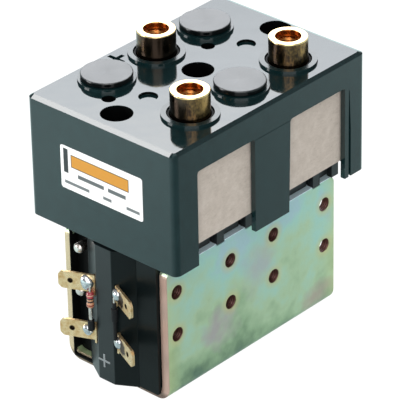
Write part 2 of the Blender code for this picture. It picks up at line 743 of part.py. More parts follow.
def make_busbar():
    """The strip that joins both far contacts to the middle post."""
    reach = COIL_PITCH / 2 + CONTACT_WIDTH / 2
    bar_inner = POST_ROW - CONTACT_WIDTH / 2
    middle = (CONTACT_OUTER + bar_inner) / 2
    outline = rounded_outline(reach, (CONTACT_OUTER - bar_inner) / 2, COPPER_CORNER, (0, middle))
    mesh = prism_mesh("common_busbar", outline, CONTACT_LEVEL, CONTACT_LEVEL + COPPER)
    bar = add_object("common_busbar", mesh, COPPER_METAL)
    for side in COIL_SIDES.values():
        length = (bar_inner + FINGER_LAP - CONTACT_INNER) / 2
        centre = (coil_x(side), CONTACT_INNER + length)
        finger = rounded_outline(CONTACT_WIDTH / 2, length, FINGER_CORNER, centre)
        piece = prism_mesh("busbar_finger", finger, CONTACT_LEVEL, CONTACT_LEVEL + COPPER)
        join(bar, add_object("busbar_finger", piece))
        join(bar, contact_tip(coil_x(side), TIP_REACH))
    return bar


def make_post(name, x, y):
    """A turned brass post with a tapped socket in its top."""
    top = COVER_TOP + POST_PROUD
    ease = 0.35 * MM
    recess = POST_RECESS / 2
    bore = POST_BORE / 2
    floor = top - POST_RECESS_DEPTH
    point = bore * DRILL_POINT
    profile = [
        (0, top - POST_BORE_DEPTH - point), (bore, top - POST_BORE_DEPTH), (bore, floor),
        (recess, floor + GAP), (recess, top - ease), (recess + ease, top), (POST_RADIUS - ease, top),
        (POST_RADIUS, top - ease), (POST_RADIUS, POST_BOTTOM + ease), (POST_RADIUS - ease, POST_BOTTOM),
        (0, POST_BOTTOM),
    ]
    return turned(name, profile, BRASS, (x, y, 0))


def make_bush(name, x, y):
    """The insulating bush between a post and the cover, with a collar under the roof."""
    bore = POST_RADIUS + GAP
    top = BOSS_TOP - BUSH_DROP
    low = CEILING - GAP - BUSH_COLLAR
    ease = 0.3 * MM
    profile = [
        (bore, top), (BUSH_RADIUS - ease, top), (BUSH_RADIUS, top - ease), (BUSH_RADIUS, CEILING - GAP),
        (BUSH_COLLAR_RADIUS, CEILING - GAP), (BUSH_COLLAR_RADIUS, low), (bore, low),
    ]
    return turned(name, profile, BLACK, (x, y, 0))


def make_plug(name, x, y):
    """The blanking plug in an unused post hole: a disc with a hollow shank."""
    top = BOSS_TOP + PLUG_PROUD
    disc = BOSS_TOP + GAP
    low = disc - PLUG_SHANK
    ease = 0.4 * MM
    profile = [
        (0, top), (PLUG_RADIUS - ease, top), (PLUG_RADIUS, top - ease), (PLUG_RADIUS, disc),
        (PLUG_SHANK_RADIUS, disc), (PLUG_SHANK_RADIUS, low), (PLUG_SHANK_RADIUS - PLUG_WALL, low),
        (PLUG_SHANK_RADIUS - PLUG_WALL, disc), (0, disc),
    ]
    return turned(name, profile, BLACK, (x, y, 0))


def tapered_block(name, half_x, half_y, low, high, low_grow, high_grow, material=None):
    """A block that is wider at one level than at the other."""
    work = bmesh.new()
    bmesh.ops.create_cube(work, size=2.0)
    for vertex in work.verts:
        at_top = vertex.co.z > 0
        grow = high_grow if at_top else low_grow
        vertex.co.x *= half_x + grow
        vertex.co.y *= half_y + grow
        vertex.co.z = high if at_top else low
    return add_object(name, mesh_from(work, name), material)


def lofted_block(name, sections, material=None):
    """A block whose round-cornered outline changes from one level to the next."""
    work = bmesh.new()
    rings = []
    for level, half_x, half_y, corner in sections:
        outline = rounded_outline(half_x, half_y, corner, steps=COVER_CORNER_STEPS)
        rings.append([work.verts.new((x, y, level)) for x, y in outline])
    for lower, upper in zip(rings, rings[1:]):
        for index in range(len(lower)):
            after = (index + 1) % len(lower)
            work.faces.new((lower[index], lower[after], upper[after], upper[index]))
    work.faces.new(rings[0])
    work.faces.new(rings[-1])
    return add_object(name, mesh_from(work, name), material)


def post_grid():
    """The six raised rings, with what stands in each."""
    for index, side in enumerate((-1, 1)):
        yield "post", ("left", "right")[index], coil_x(side), -POST_ROW
        yield "plug", ("left", "right")[index], coil_x(side), POST_ROW
    yield "post", "common", 0.0, POST_ROW
    yield "plug", "middle", 0.0, -POST_ROW


def make_cover():
    """The drafted cover: chamfered roof, skirt, windows, raised rings and three screw columns."""
    half_x = COVER_LENGTH / 2
    half_y = COVER_WIDTH / 2
    cover = lofted_block("cover", (
        (COVER_BOTTOM, half_x + COVER_DRAFT, half_y + COVER_DRAFT, COVER_CORNER),
        (COVER_TOP - COVER_CHAMFER, half_x, half_y, COVER_CORNER),
        (COVER_TOP, half_x - COVER_CHAMFER, half_y - COVER_CHAMFER, COVER_CORNER - COVER_CHAMFER),
    ), BLACK)
    hollow = tapered_block("cover_hollow", half_x - COVER_WALL, half_y - COVER_WALL, COVER_BOTTOM - STEEL,
                           CEILING, COVER_DRAFT, 0.0)
    cut(cover, hollow)
    for place in SCREW_PLACES:
        column = rod("screw_column", WELL_RADIUS + WELL_WALL, (place, 0, BASE_FLOOR + GAP),
                     CEILING + GAP - BASE_FLOOR, steps=HIDDEN_STEPS)
        join(cover, column)
    for kind, _, x, y in post_grid():
        ring = rod("raised_ring", BOSS_RADIUS, (x, y, COVER_TOP - GAP), BOSS_HEIGHT + GAP,
                   top_radius=BOSS_RADIUS - BOSS_DRAFT)
        join(cover, ring)
        radius = (BUSH_RADIUS if kind == "post" else PLUG_SHANK_RADIUS) + GAP
        cut(cover, rod("ring_hole", radius, (x, y, CEILING - STEEL), 3 * STEEL))
    for place in SCREW_PLACES:
        cut(cover, rod("screw_well", WELL_RADIUS, (place, 0, WELL_FLOOR), WELL_DEPTH + STEEL,
                       steps=HIDDEN_STEPS))
        cut(cover, rod("screw_way", COVER_SCREW / 2 + GAP, (place, 0, BASE_FLOOR - STEEL),
                       WELL_FLOOR - BASE_FLOOR + 2 * STEEL, steps=SMALL_STEPS))
    for side in COIL_SIDES.values():
        vent = (coil_x(side) - VENT_X, VENT_Y, CEILING - STEEL)
        cut(cover, rod("vent", VENT_RADIUS, vent, 3 * STEEL, steps=SMALL_STEPS))
        dimple = (coil_x(side), 0, COVER_TOP - DIMPLE_DEPTH)
        cut(cover, rod("dimple", DIMPLE_RADIUS, dimple, STEEL, steps=SMALL_STEPS))
    for side in (-1, 1):
        inner = side * (half_y - COVER_WALL - 2 * GAP)
        outer = side * (half_y + COVER_DRAFT + STEEL)
        for end in (-1, 1):
            cut(cover, window_cutter(end, inner, outer))
        face = side * (half_y - RIB_GROOVE_DEPTH)
        low_x = -side * (WINDOW_OUTER + RIB_WIDTH)
        high_x = low_x - side * RIB_GROOVE
        cut(cover, block("rib_groove", (min(low_x, high_x), min(face, outer), COVER_BOTTOM - STEEL),
                         (max(low_x, high_x), max(face, outer), WINDOW_TOP - RIB_WIDTH)))
    return cover


def window_cutter(end, inner, outer):
    """A window that is open at the skirt, with the pillar feet chamfered."""
    chamfer = PILLAR_CHAMFER
    low = COVER_BOTTOM - STEEL
    foot = COVER_BOTTOM
    ease = WINDOW_CORNER
    outline = [
        (WINDOW_INNER - chamfer, low), (WINDOW_OUTER, low), (WINDOW_OUTER, WINDOW_TOP - ease),
        (WINDOW_OUTER - ease * CUT_CORNER, WINDOW_TOP - ease * CUT_CORNER), (WINDOW_OUTER - ease, WINDOW_TOP),
        (WINDOW_INNER + ease, WINDOW_TOP), (WINDOW_INNER + ease * CUT_CORNER, WINDOW_TOP - ease * CUT_CORNER),
        (WINDOW_INNER, WINDOW_TOP - ease), (WINDOW_INNER, foot + chamfer), (WINDOW_INNER - chamfer, foot),
    ]
    outline = [(end * x, z) for x, z in outline]
    mesh = prism_mesh("window", outline, min(inner, outer), max(inner, outer), "Y")
    return add_object("window", mesh)


def make_cover_screw(name, x):
    """A cheese-head screw down one column into the pole plate."""
    radius = COVER_SCREW / 2
    head = COVER_SCREW_HEAD / 2
    low = WELL_FLOOR + GAP
    high = low + COVER_SCREW_HEAD_HEIGHT
    end = POLE_BOTTOM + GAP
    profile = [(0, high), (head - 2 * GAP, high), (head, high - 2 * GAP), (head, low), (radius, low),
               (radius, end + 2 * GAP), (radius - 2 * GAP, end), (0, end)]
    screw = turned(name, profile, SPRING_STEEL, (x, 0, 0), SMALL_STEPS)
    realise(screw)
    half_slot = COVER_SCREW_SLOT / 2
    slot = block("screw_slot", (x - half_slot, -2 * head, high - COVER_SCREW_SLOT_DEPTH),
                 (x + half_slot, 2 * head, high + STEEL))
    cut(screw, slot)
    return screw


def make_panel(name, end, side):
    """A fibre board behind one window, standing on the base's ledge."""
    outer = side * PANEL_FACE
    inner = side * (PANEL_FACE - PANEL_THICK)
    low_x = end * (WINDOW_INNER - PANEL_LAP)
    high_x = end * (WINDOW_OUTER + PANEL_LAP)
    low = (min(low_x, high_x), min(inner, outer), PANEL_BOTTOM)
    high = (max(low_x, high_x), max(inner, outer), WINDOW_TOP + PANEL_LAP)
    panel = block(name, low, high, FIBRE)
    round_edges(panel, PANEL_EASE, segments=1)
    return panel


def base_section():
    """Half outline of the base across its width: foot, flare and rim."""
    foot = BASE_FOOT / 2
    inner = RIM_OUTER - BASE_WALL
    return [
        (foot, BASE_BOTTOM), (foot, FLARE_LOW), (RIM_OUTER, FLARE_TOP), (RIM_OUTER, RIM_TOP),
        (inner, RIM_TOP), (inner, FLARE_TOP + BASE_WALL / 2), (foot - BASE_WALL, BASE_FLOOR),
    ]


def tab_places():
    """The side of each tab along the foot, and where it starts and ends along X."""
    for side in (-1, 1):
        yield side, -MIDDLE_TAB / 2, MIDDLE_TAB / 2
        for place in TAB_PLACES:
            for end in (-1, 1):
                yield side, end * place - TAB_WIDTH / 2, end * place + TAB_WIDTH / 2
        yield side, BASE_LENGTH / 2 - TAB_WIDTH, BASE_LENGTH / 2


def side_block(name, side, start, finish, inner, outer, low, high):
    """A block on the near or the far side, between two places along X."""
    walls = (side * inner, side * outer)
    return block(name, (start, min(walls), low), (finish, max(walls), high))


def make_base():
    """The contact base: a flared tray on the yoke that carries the fixed contacts."""
    half = base_section()
    outline = half + [(-y, z) for y, z in reversed(half)]
    end = BASE_LENGTH / 2
    base = add_object("contact_base", prism_mesh("contact_base", outline, -end, end, "X"), BLACK)
    for side in (-1, 1):
        inner = side * (end - BASE_END_WALL)
        outer = side * (end - GAP / 3)
        wall = block("base_end_wall", (min(inner, outer), -BASE_FOOT / 2, BASE_FLOOR - GAP),
                     (max(inner, outer), BASE_FOOT / 2, PANEL_BOTTOM))
        join(base, wall)
    for side in COIL_SIDES.values():
        x = coil_x(side)
        half_width = PEDESTAL_WIDTH / 2
        for row in (-1, 1):
            near = row * (POST_ROW - half_width)
            far = row * (POST_ROW + half_width / 2)
            pedestal = block("pedestal", (x - half_width, min(near, far), BASE_FLOOR - GAP),
                             (x + half_width, max(near, far), CONTACT_LEVEL - GAP))
            join(base, pedestal)
        cup = rod("spring_cup", CUP_RADIUS + CUP_WALL, (x, 0, BASE_FLOOR - GAP), CUP_HEIGHT + GAP,
                  steps=HIDDEN_STEPS)
        join(base, cup)
        cut(base, rod("cup_bore", CUP_RADIUS, (x, 0, CUP_SEAT), CUP_HEIGHT + 3 * STEEL, steps=HIDDEN_STEPS))
        cut(base, rod("plunger_pocket", PLUNGER_RADIUS + RUNNING_GAP, (x, 0, BASE_BOTTOM - STEEL),
                      PLUNGER_TOP + RUNNING_GAP - BASE_BOTTOM + STEEL, steps=HIDDEN_STEPS))
        cut(base, rod("spindle_way", SPINDLE / 2 + RUNNING_GAP, (x, 0, BASE_BOTTOM - STEEL), 4 * STEEL,
                      steps=SMALL_STEPS))
    middle = block("middle_pedestal", (-PEDESTAL_WIDTH / 2, POST_ROW - PEDESTAL_WIDTH / 2, BASE_FLOOR - GAP),
                   (PEDESTAL_WIDTH / 2, POST_ROW + PEDESTAL_WIDTH / 4, CONTACT_LEVEL - GAP))
    join(base, middle)
    column = WELL_RADIUS + WELL_WALL + GAP
    barrier = block("arc_barrier", (-BARRIER / 2, -RIM_OUTER + BASE_WALL / 2, BASE_FLOOR - GAP),
                    (BARRIER / 2, -column, BASE_FLOOR + BARRIER_HEIGHT))
    join(base, barrier)
    foot = BASE_FOOT / 2
    for side, start, finish in tab_places():
        join(base, side_block("foot_tab", side, start, finish, foot - GAP, YOKE_WIDTH / 2,
                              POLE_TOP - TAB_DROP, FLARE_LOW + BASE_WALL))
        if finish < end - GAP:
            slot_start = start - TAB_SLOT if side < 0 else finish + GAP
            cut(base, side_block("tab_slot", side, slot_start, slot_start + TAB_SLOT - GAP, foot - BASE_WALL,
                                 YOKE_WIDTH, BASE_BOTTOM - GAP, FLARE_LOW))
    for place in SCREW_PLACES:
        cut(base, rod("base_screw_hole", COVER_SCREW / 2 + GAP, (place, 0, BASE_BOTTOM - STEEL), 4 * STEEL,
                      steps=SMALL_STEPS))
        if place != 0.0:
            cut(base, rod("column_seat", column, (place, 0, BASE_FLOOR), 6 * STEEL, steps=HIDDEN_STEPS))
    notch = block("ridge_notch", (-BASE_LENGTH, -RIDGE_ROOT_HALF - GAP, BASE_BOTTOM - STEEL),
                  (-YOKE_END + 2 * GAP, RIDGE_ROOT_HALF + GAP, RIDGE_TOP + GAP))
    relief = block("end_relief", (-BASE_LENGTH, -COVER_WIDTH, BASE_BOTTOM - STEEL),
                   (-YOKE_END + GAP, COVER_WIDTH, COVER_BOTTOM + GAP))
    cut(base, notch, relief)
    return base


def ridge_outline():
    """The ridge's section: a flat front whose flanks slope back to the panel."""
    front = -YOKE_END - RIDGE_DEPTH
    root = -YOKE_END - RIDGE_ROOT
    return [
        (front, -RIDGE_FRONT_HALF), (root, -RIDGE_ROOT_HALF), (-YOKE_END + GAP, -RIDGE_ROOT_HALF),
        (-YOKE_END + GAP, RIDGE_ROOT_HALF), (root, RIDGE_ROOT_HALF), (front, RIDGE_FRONT_HALF),
    ]


def make_end_moulding():
    """The moulding that closes the blade end: a flat panel with a full-height ridge."""
    low = FLOOR + GAP
    high = POLE_TOP - GAP
    outline = rounded_outline(YOKE_INNER - GAP, (high - low) / 2, YOKE_BEND - STEEL, (0, (high + low) / 2))
    panel = prism_mesh("end_moulding", outline, MOULDING_FRONT, MOULDING_BACK, "X")
    moulding = add_object("end_moulding", panel, BLACK)
    face = rounded_outline(YOKE_INNER - GAP, (RIDGE_TOP - low) / 2, YOKE_BEND - STEEL,
                           (0, (RIDGE_TOP + low) / 2))
    join(moulding, add_object("end_face", prism_mesh("end_face", face, MOULDING_FRONT, -YOKE_END, "X")))
    ridge = add_object("ridge", prism_mesh("ridge", ridge_outline(), RIDGE_BOTTOM, RIDGE_TOP))
    join(moulding, ridge)
    notch = block("tongue_notch", (-YOKE_END, -TONGUE_HALF - GAP, POLE_BOTTOM - GAP),
                  (MOULDING_BACK + STEEL, TONGUE_HALF + GAP, POLE_TOP + GAP))
    cut(moulding, notch)
    cut(moulding, rod("coil_clearance", BOBBIN_RADIUS + GAP, (-COIL_PITCH / 2, 0, -STEEL), YOKE_HEIGHT,
                      steps=CLEARANCE_STEPS))
    foot = block("yoke_floor_clearance", (-YOKE_END - GAP, -YOKE_INNER, -STEEL),
                 (MOULDING_BACK + STEEL, YOKE_INNER, FLOOR + GAP))
    pocket = block("lead_pocket", (MOULDING_FRONT - STEEL, POCKET_INNER, POCKET_LOW),
                   (POCKET_FLOOR, POCKET_OUTER, POCKET_HIGH))
    cut(moulding, foot, pocket)
    for level in BLADE_LEVELS:
        for side in (-1, 1):
            half = BLADE_THICK / 2 + GAP
            y = side * BLADE_ROOT_Y
            low = level - BLADE_WIDTH / 2 - TANG_DROP - GAP
            slot = block("blade_slot", (BLADE_ROOT_X - STEEL, y - half, low),
                         (BLADE_ROOT_X + TANG_LENGTH + GAP, y + half, level + BLADE_WIDTH / 2 + GAP))
            cut(moulding, slot)
    for level in PIN_LEVELS:
        start = (MOULDING_FRONT - STEEL, PIN_Y, level)
        cut(moulding, rod("pin_hole", PIN_RADIUS + GAP, start, 4 * STEEL, "X", steps=SMALL_STEPS))
    return moulding


def make_blade(name, level, side):
    """A spade blade that leans out from the ridge, with a tang let into it."""
    half = BLADE_WIDTH / 2
    corner = BLADE_CORNER
    outline = [
        (0.0, -half), (BLADE_LENGTH - corner, -half), (BLADE_LENGTH, -half + corner),
        (BLADE_LENGTH, half - corner), (BLADE_LENGTH - corner, half), (0.0, half),
    ]
    mesh = prism_mesh(name, outline, -BLADE_THICK / 2, BLADE_THICK / 2, "Y")
    blade = add_object(name, mesh, BRASS)
    hole_start = (BLADE_LENGTH - BLADE_HOLE_INSET, -STEEL, 0)
    hole = rod(name + "_hole", BLADE_HOLE / 2, hole_start, 2 * STEEL, "Y", steps=SMALL_STEPS)
    lean = math.pi - side * (math.pi / 2 - BLADE_ANGLE)
    for piece in (blade, hole):
        piece.location = (BLADE_ROOT_X, side * BLADE_ROOT_Y, level)
        piece.rotation_euler = (0, 0, lean)
    back = BLADE_THICK / 2
    tang = block(name + "_tang", (BLADE_ROOT_X - back, side * BLADE_ROOT_Y - back, level - half - TANG_DROP),
                 (BLADE_ROOT_X + TANG_LENGTH, side * BLADE_ROOT_Y + back, level + half))
    join(blade, tang)
    cut(blade, hole)
    return blade


def blade_point(level, side, along, proud):
    """A point on a blade's front face, along it from the root and proud of it."""
    angle = math.pi - side * (math.pi / 2 - BLADE_ANGLE)
    away = Vector((math.cos(angle), math.sin(angle), 0))
    normal = Vector((-math.cos(BLADE_ANGLE), -side * math.sin(BLADE_ANGLE), 0))
    root = Vector((BLADE_ROOT_X, side * BLADE_ROOT_Y, level))
    return root + along * away + (BLADE_THICK / 2 + proud) * normal


def make_suppressor(name, side, parts):
    """Components in series on one wire, soldered between the two blades of a side."""
    low = blade_point(BLADE_LEVELS[0], side, SUPPRESSOR_PLACE, SUPPRESSOR_STAND)
    high = blade_point(BLADE_LEVELS[1], side, SUPPRESSOR_PLACE, SUPPRESSOR_STAND)
    ends = [blade_point(level, side, SUPPRESSOR_PLACE, GAP) for level in BLADE_LEVELS]
    bend = Vector((0, 0, SUPPRESSOR_BEND))
    path = [ends[0], low, low + bend, high - bend, high, ends[1]]
    obj = wire(name, path, LEAD_WIRE, TINNED, sides=1)
    for kind, start, length, radius in parts:
        body = [(0, length), (radius * 0.7, length), (radius, length - SLEEVE_EASE), (radius, SLEEVE_EASE),
                (radius * 0.7, 0), (0, 0)]
        if kind == "resistor":
            waist = radius * 0.86
            body = [(0, length), (radius * 0.75, length), (radius, length * 0.9), (radius, length * 0.78),
                    (waist, length * 0.68), (waist, length * 0.32), (radius, length * 0.22),
                    (radius, length * 0.1), (radius * 0.75, 0), (0, 0)]
        piece = turned(name + "_" + kind, body, TINNED, (low.x, low.y, start), SMALL_STEPS)
        realise(piece)
        PARTS.objects.unlink(piece)
        CUTTERS.objects.link(piece)
        piece.hide_render = True
        piece.display_type = "WIRE"
        join(obj, piece)
    return obj


def make_pin(name, level):
    """A tinned pin through the panel, where a lead of the far coil ends."""
    front = -YOKE_END - PIN_PROUD
    back = MOULDING_BACK
    length = back - front
    profile = [(0, length), (PIN_RADIUS * 0.7, length - PIN_DOME * 0.3), (PIN_RADIUS, length - PIN_DOME),
               (PIN_RADIUS, 0), (0, 0)]
    return turned(name, profile, TINNED, (back, PIN_Y, level), SMALL_STEPS, turn=(0, -math.pi / 2, 0))


def make_coil_lead(name, level):
    """An insulated lead from the far coil, past the near coil, to its pin."""
    level = min(level, POLE_BOTTOM - GAP - COIL_LEAD / 2)
    start_x = MOULDING_BACK + GAP
    reach = BOBBIN_RADIUS + GAP + COIL_LEAD / 2
    end_x = (COIL_PITCH - reach) / 2
    end_y = reach * math.sqrt(3) / 2
    route = [
        (start_x, PIN_Y, level), (start_x + 2.2 * MM, PIN_Y + 1.2 * MM, level),
        (start_x + 4.6 * MM, COIL_LEAD_Y - 0.5 * MM, level), (start_x + 7.2 * MM, COIL_LEAD_Y, level),
        (-COIL_PITCH / 4, COIL_LEAD_Y, level), (0, COIL_LEAD_Y - 0.4 * MM, level),
        (end_x - 8.0 * MM, end_y + 1.4 * MM, level), (end_x - 3.0 * MM, end_y + 0.6 * MM, level),
        (end_x, end_y, level),
    ]
    points = smooth_route(route, 3)
    return wire(name, points, COIL_LEAD, SLEEVE_SKIN, sides=1)


def smooth_route(route, steps):
    """Points on a smooth curve through a short list of places."""
    places = [Vector(place) for place in route]
    padded = [2 * places[0] - places[1]] + places + [2 * places[-1] - places[-2]]
    points = []
    for index in range(1, len(padded) - 2):
        before, start, end, after = padded[index - 1:index + 3]
        for step in range(steps):
            t = step / steps
            square = 2 * before - 5 * start + 4 * end - after
            cube = 3 * start - before - 3 * end + after
            points.append(0.5 * (2 * start + (end - before) * t + square * t ** 2 + cube * t ** 3))
    points.append(places[-1])
    return points


def main():
    make_frame()
    make_top_plate()
    for side_name, side in COIL_SIDES.items():
        make_bobbin(side_name, side)
        make_winding(side_name, side)
        make_core(side_name, side)
        make_core_screw(side_name, side)
        make_plunger(side_name, side)
        make_spindle(side_name, side)
        make_return_spring(side_name, side)
        make_contact_spring(side_name, side)
        make_retainer(side_name, side)
        make_bridge(side_name, side)
        make_fixed_contact(side_name, side)
    make_busbar()
    make_base()
    make_cover()
    for kind, label, x, y in post_grid():
        if kind == "post":
            make_post("terminal_post_" + label, x, y)
            make_bush("terminal_bush_" + label, x, y)
        else:
            make_plug("blanking_plug_" + label, x, y)
    for label, x in zip(("left", "middle", "right"), SCREW_PLACES):
        make_cover_screw("cover_screw_" + label, x)
    for end_name, end in COIL_SIDES.items():
        for side_name, side in (("front", -1), ("rear", 1)):
            make_panel("side_panel_%s_%s" % (side_name, end_name), end, side)
    make_end_moulding()
    for level_name, level in zip(("lower", "upper"), BLADE_LEVELS):
        for side_name, side in (("front", -1), ("rear", 1)):
            make_blade("blade_%s_%s" % (level_name, side_name), level, side)
    for level_name, level in zip(("lower", "upper"), PIN_LEVELS):
        make_pin("lead_pin_" + level_name, level)
        make_coil_lead("coil_lead_" + level_name, level)
    resistor_low = BLADE_LEVELS[1] - RESISTOR_DROP - RESISTOR_LENGTH
    sleeve_low = BLADE_LEVELS[0] + REAR_SLEEVE_RISE
    make_suppressor("suppressor_rear", 1, (("resistor", resistor_low, RESISTOR_LENGTH, RESISTOR_RADIUS),
                                           ("sleeve", sleeve_low, SLEEVE_LENGTH, SLEEVE_RADIUS)))
    sleeve_high = BLADE_LEVELS[1] - FRONT_SLEEVE_DROP - SLEEVE_LENGTH
    make_suppressor("suppressor_front", -1, (("sleeve", sleeve_high, SLEEVE_LENGTH, SLEEVE_RADIUS),))


main()
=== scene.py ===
import bmesh
import bpy
import numpy as np
from mathutils import Matrix, Vector


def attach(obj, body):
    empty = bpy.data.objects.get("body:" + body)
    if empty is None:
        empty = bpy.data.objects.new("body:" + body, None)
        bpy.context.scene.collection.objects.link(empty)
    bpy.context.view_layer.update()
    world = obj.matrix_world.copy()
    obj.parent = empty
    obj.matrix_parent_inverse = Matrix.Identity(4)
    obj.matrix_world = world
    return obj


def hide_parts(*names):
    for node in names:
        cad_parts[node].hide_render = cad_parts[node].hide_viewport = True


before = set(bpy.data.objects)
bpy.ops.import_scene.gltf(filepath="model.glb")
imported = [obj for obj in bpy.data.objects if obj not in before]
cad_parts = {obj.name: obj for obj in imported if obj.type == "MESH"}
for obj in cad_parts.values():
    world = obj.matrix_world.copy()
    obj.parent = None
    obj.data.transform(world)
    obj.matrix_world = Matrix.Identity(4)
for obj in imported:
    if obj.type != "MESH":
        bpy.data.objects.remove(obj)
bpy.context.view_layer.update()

MM = 0.001

# Lengths below are in millimetres, as in the solids
PITCH = 46.4
POST_ROW = 17.8
SCREW_ROW = 37.6
WELL = 5.25
VENT = (-9.1, 8.4)
VENT_RADIUS = 2.3
DIMPLE_RADIUS = 3.15
RING_RADIUS = 9.5
HOLE_RADII = {"post": 7.6, "plug": 7.5}
YOKE_ENDS = (-40.6, 40.8)
YOKE_HALF = 22.1
YOKE_HEIGHT = 48.4
YOKE_BEND = 4.9
STEEL = 3.0
TAPPED = 2.5
M5_PITCH = 0.8
COVER_ENDS = {"X": (-45.75, 45.25), "Y": (-31.35, 31.35)}
COVER_TOP = 96.5
COVER_FOOT = 52.7
SHOULDER = 95.0
COVER_WALL = 1.8
WINDOW = {"inner": 8.5, "outer": 35.3, "top": 86.2, "splay": 0.9}
CEILING = 93.9
RING_TOP = 97.4
PLUG_TOP = RING_TOP + 1.9
POST_TOP = COVER_TOP + 8.9
POST_RADIUS = 6.4
POST_BORE = 3.4
COUNTERBORE = 4.1
M8_PITCH = 1.25
HOLE_HALF_PITCH = 12.7
HOLE_LEVELS = (23.7, 39.4)
BLADE_ROOT = (-45.3, 4.9)
BLADE_LEAN = np.radians(24.0)
BLADE_LEVELS = {"lower": 18.4, "upper": 36.3}
BLADE_LENGTH = 12.2
BLADE_HALF = 3.15
BLADE_TAPER = 1.2
STRIP = 0.8
TANG = (-4.35, 3.15)
DETENT = 8.1
DETENT_RADIUS = 0.85
WIRE_PLACE = 1.1
RIDGE_FACE = -46.1
PANEL_FACE = -41.9
PIN_LEVELS = {"lower": 29.0, "upper": 45.0}
PIN_Y = 13.7
LABEL = {"middle": (-0.4, 75.5), "half": (17.5, 7.7), "corner": 0.9, "thick": 0.2}
SIDES = {"left": -1, "right": 1}

# The middle and half length of each tab that the contact base hangs over a side of the yoke
TABS = [(0.0, 3.0), (-15.1, 1.65), (15.1, 1.65), (-31.9, 1.65), (31.9, 1.65), (41.35, 1.65)]

# What sets a Mix node to blend colours, and the middle of a noise's range
BLEND = {"out": 2, "data_type": "RGBA"}
NOISE_SPAN = {"From Min": 0.3, "From Max": 0.7}


def linear(code):
    """An sRGB hex colour in linear light: c / 12.92 to 0.04045, and ((c + 0.055) / 1.055) ** 2.4 above."""
    parts = [int(code[place:place + 2], 16) / 255 for place in (1, 3, 5)]
    return (*[c / 12.92 if c <= 0.04045 else ((c + 0.055) / 1.055) ** 2.4 for c in parts], 1.0)


def add(tree, kind, links=(), stops=(), out=0, **settings):
    """Adds a node and returns one of its outputs.

    links gives its sockets values or other outputs, and stops fill a colour ramp.
    """
    node = tree.nodes.new("ShaderNode" + kind)
    for name, value in settings.items():
        setattr(node, name, value)
    for name, value in links.items() if isinstance(links, dict) else enumerate(links):
        if isinstance(value, bpy.types.NodeSocket):
            tree.links.new(value, node.inputs[name])
        else:
            node.inputs[name].default_value = linear(value) if isinstance(value, str) else value
    for place, (level, colour) in enumerate(stops):
        bands = node.color_ramp.elements
        band = bands[place] if place < len(bands) else bands.new(level)
        band.position = level
        band.color = linear(colour) if isinstance(colour, str) else (colour, colour, colour, 1.0)
    return node.outputs[out]


def start_material(name):
    """An empty material, its tree, its shader and the place of each point on the piece in millimetres."""
    material = bpy.data.materials.new(name)
    material.use_nodes = True
    tree = material.node_tree
    shader = tree.nodes["Principled BSDF"]
    where = add(tree, "TexCoord", out="Object")
    return material, tree, shader, add(tree, "VectorMath", {0: where, "Scale": 1000.0}, operation="SCALE")


def folded(tree, value, *middles):
    """A coordinate's distance from each middle in turn: |v - a|, then ||v - a| - b|, and so on."""
    for middle in middles:
        away = add(tree, "Math", (value, middle), operation="SUBTRACT")
        value = add(tree, "Math", (away,), operation="ABSOLUTE")
    return value


def within(tree, *tests):
    """1 where every test holds and 0 elsewhere. Each test is a value, "<" or ">", and a level."""
    every = None
    for value, sign, level in tests:
        holds = add(tree, "Math", (value, level), operation="LESS_THAN" if sign == "<" else "GREATER_THAN")
        every = add(tree, "Math", (every, holds), operation="MULTIPLY") if every else holds
    return every


def set_finish(tree, shader, colour, roughness, bump, bump_height, metallic=0.0, **more):
    """Connects what varies and sets what is the same all over. bump_height is in millimetres."""
    for name, value in {"Base Color": colour, "Roughness": roughness, "Metallic": metallic, **more}.items():
        socket = shader.inputs[name]
        if isinstance(value, bpy.types.NodeSocket):
            tree.links.new(value, socket)
        elif isinstance(value, str):
            socket.default_value = linear(value)
        else:
            socket.default_value = value
    relief = add(tree, "Bump", {"Height": bump, "Distance": bump_height * MM, "Strength": 1.0})
    tree.links.new(relief, shader.inputs["Normal"])


# Surfaces

def quads(rows, columns):
    """Corners of the quads between neighbouring rings of a grid, each ring closed on itself."""
    around = np.arange(columns)
    first = np.arange(rows - 1)[:, None] * columns
    here = first + around
    beside = first + (around + 1) % columns
    return np.stack([here, beside, beside + columns, here + columns], -1).reshape(-1, 4).tolist()


def build(name, points, faces):
    """A mesh object from points in millimetres: equal points are merged and all faces turned outwards."""
    mesh = bpy.data.meshes.new(name)
    mesh.from_pydata((np.asarray(points, float) * MM).tolist(), [], faces)
    work = bmesh.new()
    work.from_mesh(mesh)
    bmesh.ops.remove_doubles(work, verts=work.verts, dist=0.0000015)
    bmesh.ops.recalc_face_normals(work, faces=work.faces)
    work.to_mesh(mesh)
    work.free()
    made = bpy.data.objects.new(name, mesh)
    bpy.context.scene.collection.objects.link(made)
    return made


def loft(name, rings):
    """Closed rings of equal count, skinned in order, with a flat cap on the first and on the last."""
    rings = np.asarray(rings, float)
    rows, columns = rings.shape[:2]
    caps = [list(range(columns)), list(range((rows - 1) * columns, rows * columns))]
    return build(name, rings.reshape(-1, 3), quads(rows, columns) + caps)


def lathe(name, profile, centre=(0.0, 0.0), steps=96):
    """Each (radius, height) of a profile goes once round the vertical line through centre."""
    radius, height = np.array(profile, float).T
    if radius[0] > 0 or radius[-1] > 0:
        radius = np.append(radius, radius[0])
        height = np.append(height, height[0])
    angle = np.linspace(0, 2 * np.pi, steps, endpoint=False)
    x = centre[0] + radius[:, None] * np.cos(angle)
    y = centre[1] + radius[:, None] * np.sin(angle)
    z = np.broadcast_to(height[:, None], x.shape)
    return build(name, np.stack([x, y, z], -1).reshape(-1, 3), quads(len(radius), steps))


